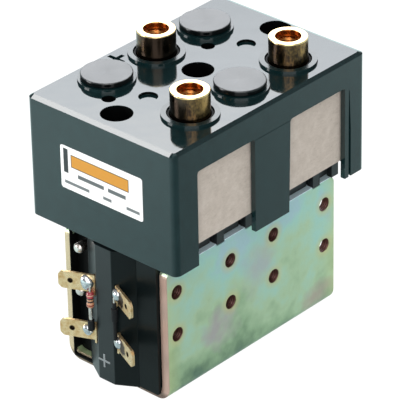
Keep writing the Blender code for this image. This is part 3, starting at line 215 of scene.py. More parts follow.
def eased(corners, radii, steps=4):
    """A closed outline, each corner P eased to (1-t)^2 A + 2t(1-t) P + t^2 B, with A and B a radius away."""
    corners = np.array(corners, float)
    radii = np.broadcast_to(np.array(radii, float), len(corners))[:, None]
    before = np.roll(corners, 1, axis=0) - corners
    after = np.roll(corners, -1, axis=0) - corners
    start = corners + radii * before / np.linalg.norm(before, axis=1, keepdims=True)
    finish = corners + radii * after / np.linalg.norm(after, axis=1, keepdims=True)
    t = np.linspace(0, 1, steps + 1)[:, None, None]
    curve = (1 - t) ** 2 * start + 2 * t * (1 - t) * corners + t ** 2 * finish
    return curve.transpose(1, 0, 2).reshape(-1, 2)


def round_box(half_a, half_b, corner, steps=6, middle=(0.0, 0.0)):
    """A rectangle with circular corners: its corner centres plus a radius turned through each quarter."""
    quarter = np.arange(4)[:, None]
    angle = np.pi / 2 * (quarter + np.linspace(0, 1, steps + 1))
    sign_a = np.array([1, -1, -1, 1])[:, None]
    sign_b = np.array([1, 1, -1, -1])[:, None]
    a = middle[0] + sign_a * (half_a - corner) + corner * np.cos(angle)
    b = middle[1] + sign_b * (half_b - corner) + corner * np.sin(angle)
    return np.stack([a.ravel(), b.ravel()], -1)


def along(outline, level, axis="Z"):
    """A flat outline set across an axis at a level, as points in space."""
    a, b = np.asarray(outline, float).T
    fixed = np.full(len(a), float(level))
    order = {"Z": (a, b, fixed), "X": (fixed, a, b), "Y": (a, fixed, b)}[axis]
    return np.stack(order, -1)


def prism(name, outline, low, high, axis="Z"):
    """An outline carried straight from one level to another."""
    return loft(name, [along(outline, low, axis), along(outline, high, axis)])


def bar(name, radius, start, length, axis="Z", steps=64, far_radius=None):
    """A round bar or cone: a circle carried along an axis from a starting point."""
    angle = np.linspace(0, 2 * np.pi, steps, endpoint=False)
    circle = np.stack([np.cos(angle), np.sin(angle)], -1)
    index = "XYZ".index(axis)
    middle = [value for place, value in enumerate(start) if place != index]
    far = radius if far_radius is None else far_radius
    ends = ((radius, start[index]), (far, start[index] + length))
    return loft(name, [along(circle * size + middle, level, axis) for size, level in ends])


def tube(name, path, radius, sides=16):
    """A circle carried along a path, its plane square to the path: point + r (cos a u + sin a v)."""
    path = np.asarray(path, float)
    tangent = np.gradient(path, axis=0)
    tangent /= np.linalg.norm(tangent, axis=1, keepdims=True)
    steep = abs(tangent[:, 2]).mean() >= 0.8
    guide = np.array([0.94, 0.31, 0.17] if steep else [0.31, 0.17, 0.94])
    across = np.cross(tangent, guide)
    across /= np.linalg.norm(across, axis=1, keepdims=True)
    upward = np.cross(tangent, across)
    angle = np.linspace(0, 2 * np.pi, sides, endpoint=False)[:, None]
    size = np.broadcast_to(np.asarray(radius, float), len(path))[:, None, None]
    rings = path[:, None] + size * (np.cos(angle) * across[:, None] + np.sin(angle) * upward[:, None])
    return loft(name, rings)


def curved(points, count):
    """A smooth path through a few places: a Catmull-Rom curve, evaluated at equal steps."""
    places = np.asarray(points, float)
    padded = np.vstack([2 * places[0] - places[1], places, 2 * places[-1] - places[-2]])
    share = np.linspace(0, len(places) - 1 - 1e-9, count)
    index = share.astype(int)
    t = (share - index)[:, None]
    before, start, end, after = (padded[index + step] for step in range(4))
    return 0.5 * (2 * start + (end - before) * t + (2 * before - 5 * start + 4 * end - after) * t ** 2
                  + (3 * start - before - 3 * end + after) * t ** 3)


def carve(piece, cutters, operation="DIFFERENCE"):
    """The piece with the cutters taken away, joined or kept, worked into its own mesh."""
    for cutter in cutters:
        modifier = piece.modifiers.new("carve", "BOOLEAN")
        modifier.operation = operation
        modifier.solver = "EXACT"
        modifier.object = cutter
    bpy.context.view_layer.update()
    graph = bpy.context.evaluated_depsgraph_get()
    piece.data = bpy.data.meshes.new_from_object(piece.evaluated_get(graph))
    piece.modifiers.clear()
    for cutter in cutters:
        bpy.data.objects.remove(cutter)
    return piece


def dress(piece, material, body="housing", stands_for=(), edge=0.0, segments=2, angle=32.0):
    """Gives a piece its material, soft edges in millimetres, its body and the nodes that it stands for."""
    piece.data.materials.clear()
    piece.data.materials.append(material)
    piece.data.shade_smooth()
    piece.data.set_sharp_from_angle(angle=np.radians(angle))
    if edge:
        bevel = piece.modifiers.new("eased edges", "BEVEL")
        bevel.width = edge * MM
        bevel.segments = segments
        bevel.limit_method = "ANGLE"
        bevel.angle_limit = np.radians(angle)
        bevel.harden_normals = False
        weighted = piece.modifiers.new("flat faces", "WEIGHTED_NORMAL")
        weighted.keep_sharp = True
    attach(piece, body)
    if stands_for:
        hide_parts(*stands_for)
    return piece


def blade_frame(side):
    """Unit directions along a blade and square out of its front, and the point where it leaves the ridge."""
    angle = np.pi - side * (np.pi / 2 - BLADE_LEAN)
    away = np.array([np.cos(angle), np.sin(angle), 0.0])
    normal = np.array([-np.cos(BLADE_LEAN), -side * np.sin(BLADE_LEAN), 0.0])
    root = np.array([BLADE_ROOT[0], side * BLADE_ROOT[1], 0.0])
    return root, away, normal


# Finishes

def glossy_phenolic():
    """Phenolic resin pressed in a polished mould: black with a teal cast, mirror bright and a little wavy.

    The raised rings are faced off after moulding, so they are satin. Wells, vents and dimples get painted
    shade:
    near black, rough and with little specular. Points are folded about their rows, which gives the distance
    to the nearest of each.
    """
    material, tree, shader, place = start_material("black phenolic, polished moulding")
    x, y, z = add(tree, "SeparateXYZ", (place,)).node.outputs
    wave = add(tree, "TexNoise", {"Vector": place, "Scale": 0.07, "Detail": 2.0})
    mottle = add(tree, "TexNoise", {"Vector": place, "Scale": 0.3, "Detail": 5.0, "Roughness": 0.62})
    colour = add(tree, "ValToRGB", {"Fac": mottle}, stops=[(0.3, "#0b2224"), (0.7, "#132b2d")])
    rough = add(tree, "MapRange", {"Value": mottle, **NOISE_SPAN, "To Min": 0.04, "To Max": 0.09})

    def nearest(pitch, middle_x, middle_y, outer_only=False):
        """Distance to the nearest centre at middle_x and middle_x +- pitch, in the row at middle_y."""
        across = folded(tree, x, middle_x)
        outer = folded(tree, across, pitch)
        across = outer if outer_only else add(tree, "Math", (across, outer), operation="MINIMUM")
        flat = add(tree, "CombineXYZ", (across, folded(tree, y, middle_y)))
        return add(tree, "VectorMath", (flat,), out="Value", operation="LENGTH")

    well = within(tree, (nearest(SCREW_ROW, 0.0, 0.0), "<", WELL + 0.1))
    vent = within(tree, (nearest(PITCH / 2, *VENT, True), "<", VENT_RADIUS + 0.1))
    dimple = within(tree, (nearest(PITCH / 2, 0.0, 0.0, True), "<", DIMPLE_RADIUS + 0.15),
                    (z, ">", COVER_TOP - 0.9))
    # Painted shade: wells, vents and dimples are painted near black and lose their specular, for the shade
    # inside them
    painted_pit_shade = add(tree, "Math", (well, vent), operation="MAXIMUM")
    painted_pit_shade = add(tree, "Math", (painted_pit_shade, dimple), operation="MAXIMUM")
    painted_pit_shade = add(tree, "Math", (painted_pit_shade, within(tree, (z, "<", COVER_TOP - 0.2))), operation="MULTIPLY")
    colour = add(tree, "Mix", {0: painted_pit_shade, 6: colour, 7: "#020303"}, **BLEND)
    ring = within(tree, (z, ">", COVER_TOP + 0.7))
    rough = add(tree, "Math", (ring, 0.18, rough), operation="MULTIPLY_ADD")
    rough = add(tree, "Math", (painted_pit_shade, 0.6, rough), operation="MULTIPLY_ADD")
    shine = add(tree, "MapRange", {"Value": painted_pit_shade, "To Min": 0.5, "To Max": 0.06})
    set_finish(tree, shader, colour, rough, wave, 0.1, IOR=1.58)
    tree.links.new(shine, shader.inputs["Specular IOR Level"])
    return material


def satin_phenolic(name, colour, roughness, **constants):
    """Phenolic resin from a blasted mould: the same black, spread into a soft grey sheen by a fine grain."""
    material, tree, shader, place = start_material(name)
    fine = add(tree, "TexNoise", {"Vector": place, "Scale": 1.6, "Detail": 5.0, "Roughness": 0.65})
    broad = add(tree, "TexNoise", {"Vector": place, "Scale": 0.16, "Detail": 3.0})
    share = add(tree, "Math", (broad, 0.3), operation="MULTIPLY")
    tint = add(tree, "Mix", {0: share, 6: colour, 7: "#2b2f31"}, **BLEND)
    rough = add(tree, "MapRange", {"Value": broad, **NOISE_SPAN,
                                   "To Min": roughness - 0.04, "To Max": roughness + 0.05})
    set_finish(tree, shader, tint, rough, fine, 0.02, IOR=1.55, **constants)
    return material


def plug_phenolic():
    """Phenolic resin, moulded: the disc's top is blasted, and painted a paler grey that also stands in for
    its sheen; its rim is left polished black.
    """
    material, tree, shader, place = start_material("black phenolic, blanking plug")
    height = add(tree, "SeparateXYZ", (place,), out="Z")
    fine = add(tree, "TexNoise", {"Vector": place, "Scale": 1.5, "Detail": 5.0, "Roughness": 0.65})
    cloud = add(tree, "TexNoise", {"Vector": place, "Scale": 0.14, "Detail": 3.0})
    top = add(tree, "MapRange", {"Value": height, "From Min": PLUG_TOP - 0.35, "From Max": PLUG_TOP - 0.05})
    # Painted sheen: the blasted top is painted a paler grey, partly its blasted skin and partly standing in
    # for its sheen; the rim and shank are near black
    skin = add(tree, "Mix", {0: cloud, 6: "#191d20", 7: "#34393c"}, **BLEND)
    tint = add(tree, "Mix", {0: top, 6: "#070a0b", 7: skin}, **BLEND)
    satin = add(tree, "MapRange", {"Value": cloud, **NOISE_SPAN, "To Min": 0.3, "To Max": 0.38})
    rough = add(tree, "MapRange", {"Value": top, "To Min": 0.1, "To Max": satin})
    relief = add(tree, "Math", (fine, top), operation="MULTIPLY")
    set_finish(tree, shader, tint, rough, relief, 0.02, IOR=1.6)
    return material


def end_phenolic():
    """Phenolic resin, moulded with a soft sheen: charcoal ridge, painted shade on the -Y flank and a pocket
    painted almost black.
    """
    material, tree, shader, place = start_material("black phenolic, end moulding")
    x, y = add(tree, "SeparateXYZ", (place,)).node.outputs[:2]
    fine = add(tree, "TexNoise", {"Vector": place, "Scale": 0.9, "Detail": 5.0, "Roughness": 0.65})
    broad = add(tree, "TexNoise", {"Vector": place, "Scale": 0.12, "Detail": 3.0})
    tint = add(tree, "Mix", {0: broad, 6: "#10181a", 7: "#182022"}, **BLEND)
    # Painted shade: the -Y flank and panel are painted darker and given less specular, for the light they
    # miss
    shade = add(tree, "MapRange", {"Value": y, "From Min": -3.2, "From Max": -3.6})
    tint = add(tree, "Mix", {0: shade, 6: tint, 7: "#0d1415"}, **BLEND)
    shine = add(tree, "MapRange", {"Value": shade, "To Min": 0.42, "To Max": 0.14})
    # Painted shade: the lead pocket is painted near black, rough and with almost no specular, for the shade
    # inside it
    pocket = within(tree, (x, ">", PANEL_FACE - 0.1), (y, ">", 10.6))
    tint = add(tree, "Mix", {0: pocket, 6: tint, 7: "#030505"}, **BLEND)
    rough = add(tree, "Math", (pocket, 0.4, 0.3), operation="MULTIPLY_ADD")
    unlit = add(tree, "Math", (pocket, -0.3, shine), operation="MULTIPLY_ADD", use_clamp=True)
    set_finish(tree, shader, tint, rough, fine, 0.03, IOR=1.55)
    tree.links.new(unlit, shader.inputs["Specular IOR Level"])
    return material


def fibre_board():
    """Pressed vulcanised fibre: matt beige-grey with pale and dark specks of its fibres, flat and dry."""
    material, tree, shader, place = start_material("vulcanised fibre board, pressed")
    stretched = add(tree, "VectorMath", (place, (0.5, 1.0, 1.3)), operation="MULTIPLY")
    cloud = add(tree, "TexNoise", {"Vector": place, "Scale": 0.3, "Detail": 6.0, "Roughness": 0.7})
    fibres = add(tree, "TexNoise", {"Vector": stretched, "Scale": 1.5, "Detail": 6.0, "Roughness": 0.75})
    base = add(tree, "ValToRGB", {"Fac": cloud}, stops=[(0.3, "#b8aea3"), (0.5, "#c2b8ad"), (0.7, "#ccc3b9")])
    pale = add(tree, "MapRange", {"Value": fibres, "From Min": 0.52, "From Max": 0.75, "To Max": 0.7})
    tint = add(tree, "Mix", {0: pale, 6: base, 7: "#d2cabf"}, **BLEND)
    dark = add(tree, "MapRange", {"Value": fibres, "From Min": 0.42, "From Max": 0.28, "To Max": 0.7})
    tint = add(tree, "Mix", {0: dark, 6: tint, 7: "#968b7f"}, **BLEND)
    set_finish(tree, shader, tint, 0.8, fibres, 0.05, **{"Specular IOR Level": 0.3})
    return material


def passivated_steel():
    """Zinc plated steel, yellow passivated: a thin film that turns from green and teal to straw and lilac.

    The holes stand at +-23.2 +-12.7 along and at 31.55 +-7.85 up. Points are folded about those middles,
    which gives the distance to the nearest hole. The film is yellow at a hole's rim, and its thread is dark.
    """
    material, tree, shader, place = start_material("zinc plate on steel, yellow passivated")
    x, y, z = add(tree, "SeparateXYZ", (place,)).node.outputs
    low, high = HOLE_LEVELS
    across = add(tree, "Math", (folded(tree, x, 0.0, PITCH / 2), HOLE_HALF_PITCH), operation="SUBTRACT")
    upward = add(tree, "Math", (folded(tree, z, (low + high) / 2), (high - low) / 2), operation="SUBTRACT")
    from_hole = add(tree, "CombineXYZ", (across, upward))
    reach = add(tree, "VectorMath", (from_hole,), out="Value", operation="LENGTH")

    # The film: green at the foot and teal at the top, carried about by slow clouds
    clouds = add(tree, "TexNoise", {"Vector": place, "Scale": 0.05, "Detail": 3.0, "Roughness": 0.5})
    blotch = add(tree, "TexNoise", {"Vector": place, "Scale": 0.2, "Detail": 5.0, "Roughness": 0.6})
    rise = add(tree, "MapRange", {"Value": z, "From Max": 48.0, "To Min": -0.42, "To Max": 0.15})
    level = add(tree, "Math", (clouds, 1.0, rise), operation="MULTIPLY_ADD")
    level = add(tree, "Math", (blotch, 0.25, level), operation="MULTIPLY_ADD")
    tint = add(tree, "ValToRGB", {"Fac": level}, stops=[
        (0.06, "#64836f"), (0.18, "#7f9c7d"), (0.32, "#a3c29b"), (0.46, "#bad5b0"), (0.58, "#b6dac2"),
        (0.7, "#aedbce"), (0.86, "#b2d2d8")])

    # Lilac and pink where the film is thickest, at three places along and up each side
    drift = add(tree, "TexNoise", {"Vector": place, "Scale": 0.09, "Detail": 4.0}, out="Color")
    flat = add(tree, "VectorMath", (place, (1.0, 0.0, 1.0)), operation="MULTIPLY")
    warped = add(tree, "VectorMath", (drift, (22.0, 0.0, 22.0), flat), operation="MULTIPLY_ADD")
    blooms = [((-4.8, 0.0, 27.0), 9.0, "#b9a9b3"), ((14.1, 0.0, 42.3), 12.0, "#b9bcc0"),
              ((43.7, 0.0, 15.3), 9.0, "#bba69d")]
    for middle, size, colour in blooms:
        away = add(tree, "VectorMath", (warped, middle), out="Value", operation="DISTANCE")
        span = {"From Min": size, "From Max": 0.2 * size, "To Max": 0.75}
        share = add(tree, "MapRange", {"Value": away, **span})
        tint = add(tree, "Mix", {0: share, 6: tint, 7: colour}, **BLEND)

    # Straw at the cut ends and round the holes, where the film is thin
    near_end = add(tree, "MapRange", {"Value": x, "From Min": -34.5, "From Max": -40.4, "To Max": 0.6})
    far_end = add(tree, "MapRange", {"Value": x, "From Min": 35.0, "From Max": 41.2, "To Max": 0.55})
    straw = add(tree, "Math", (near_end, far_end), operation="MAXIMUM")
    tint = add(tree, "Mix", {0: straw, 6: tint, 7: "#ccd99c"}, **BLEND)
    halo = add(tree, "MapRange", {"Value": reach, "From Min": 2 * TAPPED, "From Max": TAPPED, "To Max": 0.6})
    tint = add(tree, "Mix", {0: halo, 6: tint, 7: "#d3cb8c"}, **BLEND)
    near = YOKE_ENDS[0]
    # Painted reflection: the top edge strip, away from the near end, is painted pale blue and made
    # non-metallic for the sky it mirrors
    edge = within(tree, (z, ">", YOKE_HEIGHT - 0.2), (x, ">", near + 1.5))
    tint = add(tree, "Mix", {0: edge, 6: tint, 7: "#e2f6ff"}, **BLEND)
    cut_colour = add(tree, "MapRange", {"Value": y, "From Min": -YOKE_HALF, "From Max": YOKE_HALF})
    cut_colour = add(tree, "Mix", {0: cut_colour, 6: "#c9a99b", 7: "#d3c3a0"}, **BLEND)
    cut_face = add(tree, "MapRange", {"Value": x, "From Min": near + 0.35, "From Max": near + 0.1})
    tint = add(tree, "Mix", {0: cut_face, 6: tint, 7: cut_colour}, **BLEND)

    # The M5 thread in each hole: a helix of grooves
    thread = within(tree, (reach, "<", TAPPED + 0.1), (folded(tree, y, 0.0), "<", YOKE_HALF - 0.25))
    tint = add(tree, "Mix", {0: thread, 6: tint, 7: "#5f3a33"}, **BLEND)
    turn = add(tree, "Math", (upward, across), operation="ARCTAN2")
    turn = add(tree, "Math", (turn, 2 * np.pi), operation="DIVIDE")
    groove = add(tree, "Math", (y, 1 / M5_PITCH, turn), operation="MULTIPLY_ADD")
    groove = add(tree, "Math", (groove, 0.5), operation="PINGPONG")
    groove = add(tree, "Math", (groove, thread), operation="MULTIPLY")
    grain = add(tree, "TexNoise", {"Vector": place, "Scale": 0.8, "Detail": 5.0, "Roughness": 0.6})
    relief = add(tree, "Math", (groove, 9.0, grain), operation="MULTIPLY_ADD")
    rough = add(tree, "MapRange", {"Value": blotch, **NOISE_SPAN, "To Min": 0.3, "To Max": 0.4})
    metal = add(tree, "MapRange", {"Value": edge, "To Min": 0.45, "To Max": 0.0})

    # The underside of the cut end, in its own shadow
    foot = add(tree, "MapRange", {"Value": z, "From Min": 3.3, "From Max": 1.6, "To Max": 0.75})
    foot = add(tree, "Math", (foot, cut_face), operation="MULTIPLY")
    tint = add(tree, "Mix", {0: foot, 6: tint, 7: "#4f4038"}, **BLEND)
    set_finish(tree, shader, tint, rough, relief, 0.05)
    tree.links.new(metal, shader.inputs["Metallic"])
    return material


def turned_brass(name, centre, lit_side_share):
    """Free-cutting brass bar, turned and browned by use: fine upright streaks, and painted light where it
    faces the lamps.

    The last argument gives the gold streaks' share at the two ends of the line across the post from -X +Y to
    +X -Y: the gold there is painted light on the post's lit side, the brown its stain. The rim is bright and
    the counterbore is coppery.
    """
    material, tree, shader, place = start_material(name)
    local = add(tree, "VectorMath", (place, (*centre, 0.0)), operation="SUBTRACT")
    flat = add(tree, "VectorMath", (local, (1.0, 1.0, 0.0)), operation="MULTIPLY")
    reach = add(tree, "VectorMath", (flat,), out="Value", operation="LENGTH")
    height = add(tree, "SeparateXYZ", (local,), out="Z")
    upright = add(tree, "VectorMath", (local, (1.5, 1.5, 0.5)), operation="MULTIPLY")
    streak = add(tree, "TexNoise", {"Vector": upright, "Scale": 1.0, "Detail": 5.0, "Roughness": 0.7})
    stain_and_painted_light = add(tree, "TexNoise", {"Vector": local, "Scale": 0.55, "Detail": 5.0, "Roughness": 0.65})
    # Painted light: the streaks turn gold toward each post's lit side, and brown toward its other side
    facing = add(tree, "VectorMath", (local, (0.105, -0.116, 0.0)), out="Value", operation="DOT_PRODUCT")
    share = add(tree, "MapRange", {"Value": facing, "From Min": -0.7, "From Max": 0.7, "To Min": lit_side_share[0],
                                   "To Max": lit_side_share[1]})
    mixed = add(tree, "Math", (streak, stain_and_painted_light), operation="ADD")
    share = add(tree, "Math", (mixed, 1.6, share), operation="MULTIPLY_ADD")
    share = add(tree, "MapRange", {"Value": share, "From Min": 1.6, "From Max": 2.5})
    tint = add(tree, "Mix", {0: share, 6: "#54463c", 7: "#c49a63"}, **BLEND)
    rim = within(tree, (height, ">", POST_TOP - 0.45))
    tint = add(tree, "Mix", {0: rim, 6: tint, 7: "#f0d29a"}, **BLEND)
    bore = within(tree, (reach, "<", COUNTERBORE + 0.15))
    copper = add(tree, "Mix", {0: stain_and_painted_light, 6: "#8f4a26", 7: "#cf9250"}, **BLEND)
    tint = add(tree, "Mix", {0: bore, 6: tint, 7: copper}, **BLEND)
    rough = add(tree, "MapRange", {"Value": stain_and_painted_light, **NOISE_SPAN, "To Min": 0.14, "To Max": 0.28})
    set_finish(tree, shader, tint, rough, streak, 0.02, metallic=1.0)
    return material


def rolled_brass():
    """Brass strip, rolled and blanked: pale peach gold, with the rolls' faint lines and a few dull spots.

    The detents are painted dark inside as shade, and the two blades at -Y carry a painted dark brown
    reflection beside their solder.
    """
    material, tree, shader, place = start_material("brass strip, rolled")
    lengthwise = add(tree, "VectorMath", (place, (0.5, 0.5, 4.0)), operation="MULTIPLY")
    lines = add(tree, "TexNoise", {"Vector": lengthwise, "Scale": 1.0, "Detail": 3.0})
    dull = add(tree, "TexNoise", {"Vector": place, "Scale": 0.5, "Detail": 5.0, "Roughness": 0.62})
    share = add(tree, "MapRange", {"Value": dull, "From Min": 0.4, "From Max": 0.72})
    tint = add(tree, "Mix", {0: share, 6: "#f4d9ac", 7: "#cfa264"}, **BLEND)
    x, y, z = add(tree, "SeparateXYZ", (place,)).node.outputs
    middle = sum(BLADE_LEVELS.values()) / 2
    corner = add(tree, "CombineXYZ", (x, folded(tree, y, 0.0), folded(tree, z, middle)))
    root, away = blade_frame(1)[:2]
    centre = root + DETENT * away + (0, 0, BLADE_LEVELS["upper"] - middle)
    from_detent = add(tree, "VectorMath", (corner, tuple(centre)), out="Value", operation="DISTANCE")
    span = {"From Min": DETENT_RADIUS + 0.3, "From Max": DETENT_RADIUS + 0.05}
    hole = add(tree, "MapRange", {"Value": from_detent, **span})
    # Painted reflection: on the two blades at -Y a dark brown patch beside the solder stands in for the dark
    # ridge flank they mirror
    joint = root + 3.4 * away + (0, 0, BLADE_LEVELS["upper"] - middle)
    from_joint = add(tree, "VectorMath", (corner, tuple(joint)), out="Value", operation="DISTANCE")
    from_joint = add(tree, "Math", (dull, 5.0, from_joint), operation="MULTIPLY_ADD")
    stain_and_painted_light = add(tree, "MapRange", {"Value": from_joint, "From Min": 5.6, "From Max": 4.6})
    stain_and_painted_light = add(tree, "Math", (stain_and_painted_light, within(tree, (y, "<", 0.0))), operation="MULTIPLY")
    tint = add(tree, "Mix", {0: stain_and_painted_light, 6: tint, 7: "#4b3421"}, **BLEND)
    # Painted shade: the detent's hollow is painted dark brown
    tint = add(tree, "Mix", {0: hole, 6: tint, 7: "#2a1c12"}, **BLEND)
    rough = add(tree, "MapRange", {"Value": dull, **NOISE_SPAN, "To Min": 0.24, "To Max": 0.38})
    set_finish(tree, shader, tint, rough, lines, 0.02, metallic=0.85)
    return material


def plain_metal(name, colour, dull, roughness, scale=0.5):
    """A worked metal with faint clouds of dulling and a fine grain."""
    material, tree, shader, place = start_material(name)
    cloud = add(tree, "TexNoise", {"Vector": place, "Scale": scale, "Detail": 5.0, "Roughness": 0.6})
    share = add(tree, "MapRange", {"Value": cloud, "From Min": 0.35, "From Max": 0.7})
    tint = add(tree, "Mix", {0: share, 6: colour, 7: dull}, **BLEND)
    rough = add(tree, "MapRange", {"Value": cloud, **NOISE_SPAN,
                                   "To Min": roughness - 0.06, "To Max": roughness + 0.08})
    set_finish(tree, shader, tint, rough, cloud, 0.04, metallic=1.0)
    return material


def wound_copper():
    """Enamelled copper wire in level layers: a 0.5 mm wire, each turn a bright brown ridge."""
    material, tree, shader, place = start_material("enamelled copper wire, wound")
    height = add(tree, "SeparateXYZ", (place,), out="Z")
    turns = add(tree, "Math", (height, 1 / 0.5), operation="MULTIPLY")
    turns = add(tree, "Math", (turns, 0.5), operation="PINGPONG")
    shade = add(tree, "TexNoise", {"Vector": place, "Scale": 0.3, "Detail": 3.0})
    tint = add(tree, "Mix", {0: shade, 6: "#8a3f1c", 7: "#b0602c"}, **BLEND)
    set_finish(tree, shader, tint, 0.28, turns, 0.5, metallic=0.55, **{"Coat Weight": 0.4})
    return material


def moulded_nylon():
    """Natural nylon, moulded: creamy, with a soft sheen and faint flow clouds."""
    material, tree, shader, place = start_material("natural nylon, moulded")
    cloud = add(tree, "TexNoise", {"Vector": place, "Scale": 0.25, "Detail": 3.0})
    tint = add(tree, "Mix", {0: cloud, 6: "#d3cab0", 7: "#e0d8c2"}, **BLEND)
    set_finish(tree, shader, tint, 0.42, cloud, 0.05)
    return material


def rubber_sleeve():
    """Black varnished sleeving on a wire: a faint weave under a dull skin."""
    material, tree, shader, place = start_material("black varnished sleeving")
    weave = add(tree, "TexNoise", {"Vector": place, "Scale": 2.4, "Detail": 4.0})
    tint = add(tree, "Mix", {0: weave, 6: "#08090a", 7: "#16181b"}, **BLEND)
    set_finish(tree, shader, tint, 0.42, weave, 0.05, **{"Specular IOR Level": 0.25})
    return material


def resistor_lacquer(low, high):
    """Lacquered resistor with generic colour bands, by height between its two ends."""
    material, tree, shader, place = start_material("resistor lacquer, banded")
    height = add(tree, "SeparateXYZ", (place,), out="Z")
    share = add(tree, "MapRange", {"Value": height, "From Min": low, "From Max": high})
    bands = add(tree, "ValToRGB", {"Fac": share}, stops=[
        (0.0, "#b07a5c"), (0.14, "#7a2c24"), (0.22, "#c08a68"), (0.36, "#2a1c1a"), (0.46, "#b98a66"),
        (0.56, "#241a1a"), (0.64, "#a8323c"), (0.8, "#c9a48c"), (0.86, "#8e2430")])
    bands.node.color_ramp.interpolation = "CONSTANT"
    cloud = add(tree, "TexNoise", {"Vector": place, "Scale": 1.4, "Detail": 3.0})
    set_finish(tree, shader, bands, 0.3, cloud, 0.03, **{"Coat Weight": 0.5})
    return material


def printed_plate():
    """White label film with plain generic fields: a dark block, an amber bar in a border, and grey rules."""
    material, tree, shader, place = start_material("white label film, printed")
    y, z = add(tree, "SeparateXYZ", (place,)).node.outputs[1:]
    across = add(tree, "Math", (LABEL["middle"][0], y), operation="SUBTRACT")
    up = add(tree, "Math", (z, LABEL["middle"][1]), operation="SUBTRACT")
    film = add(tree, "TexNoise", {"Vector": place, "Scale": 0.4, "Detail": 4.0})
    tint = add(tree, "Mix", {0: film, 6: "#f4f5f4", 7: "#fbfbfa"}, **BLEND)
    fields = [((-15.2, 2.5), (1.0, 4.3), "#23292b"), ((-0.6, 3.05), (12.4, 2.3), "#3a3228"),
              ((-0.6, 3.05), (12.1, 2.0), "#cb8d24"), ((-4.5, -1.6), (5.6, 0.7), "#5b6263"),
              ((6.6, -1.6), (3.8, 0.7), "#5b6263"), ((-10.6, -5.1), (5.3, 0.55), "#6b7273"),
              ((2.4, -5.1), (1.8, 0.55), "#6b7273"), ((13.4, -5.1), (2.8, 0.55), "#6b7273")]
    for (a, b), (half_a, half_b), colour in fields:
        inside = []
        for value, middle, half in ((across, a, half_a), (up, b, half_b)):
            span = {"From Min": half + 0.08, "From Max": half - 0.08}
            inside.append(add(tree, "MapRange", {"Value": folded(tree, value, middle), **span}))
        share = add(tree, "Math", inside, operation="MULTIPLY")
        tint = add(tree, "Mix", {0: share, 6: tint, 7: colour}, **BLEND)
    set_finish(tree, shader, tint, 0.34, film, 0.03)
    return material


GLOSSY = glossy_phenolic()
PLUG_SKIN = plug_phenolic()
# The bush is near black with little specular: partly its matt finish, partly painted shade of the gap round
# the post
BUSH_SKIN = satin_phenolic("black phenolic, bush", "#050607", 0.6, **{"Specular IOR Level": 0.1})
BASE_SKIN = satin_phenolic("black phenolic, base moulding", "#101516", 0.34)
RIDGE_SKIN = end_phenolic()
FIBRE = fibre_board()
PASSIVATE = passivated_steel()
ROD_BRASS = turned_brass("brass rod, turned", (0.0, 0.0), (1.0, 1.0))
BLADE_BRASS = rolled_brass()
SOLDER = plain_metal("tin-lead solder, as run", "#eceef0", "#a9adb3", 0.2, 0.9)
TINNED = plain_metal("tinned copper wire", "#f0e8e2", "#c9beb6", 0.24)
IRON = plain_metal("soft iron, ground", "#a3a5a8", "#86888c", 0.34)
SPRING_STEEL = plain_metal("spring steel, drawn", "#b5b8bb", "#8f9396", 0.28)
COPPER = plain_metal("bare copper, stamped", "#d38a63", "#a9613f", 0.3)
ENAMEL = wound_copper()
NYLON = moulded_nylon()
SLEEVING = rubber_sleeve()


# Cover

def cover_ring(level, insets, corner):
    """A rounded rectangle at a level, set in from the cover's -X, +X, -Y and +Y faces."""
    low_x, high_x = COVER_ENDS["X"][0] + insets[0], COVER_ENDS["X"][1] - insets[1]
    low_y, high_y = COVER_ENDS["Y"][0] + insets[2], COVER_ENDS["Y"][1] - insets[3]
    middle = ((low_x + high_x) / 2, (low_y + high_y) / 2)
    return along(round_box((high_x - low_x) / 2, (high_y - low_y) / 2, corner, 9, middle), level)


def post_grid():
    """Name, kind and place of what stands in each of the six raised rings."""
    for name, side in SIDES.items():
        yield name, "post", side * PITCH / 2, -POST_ROW
        yield name, "plug", side * PITCH / 2, POST_ROW
    yield "common", "post", 0.0, POST_ROW
    yield "middle", "plug", 0.0, -POST_ROW


def window(end, side):
    """The cutter of one window: open at the skirt and eased at its top. The +X one widens to its foot."""
    inner, outer, top, splay = WINDOW.values()
    foot = COVER_FOOT - 3.6
    corners = [(inner - splay if end > 0 else inner, foot), (outer, foot), (outer, top), (inner, top)]
    outline = eased(corners, [0.01, 0.01, 1.2, 1.2]) * (end, 1)
    return prism("window", outline, side * 28.5, side * 36.0, "Y")


def plus(half, width, ease):
    """A plus sign's outline, from the length of an arm and half the width of a stroke."""
    corners = [(-half, -width), (-width, -width), (-width, -half), (width, -half), (width, -width),
               (half, -width), (half, width), (width, width), (width, half), (-width, half), (-width, width),
               (-half, width)]
    return eased(corners, ease, 2)


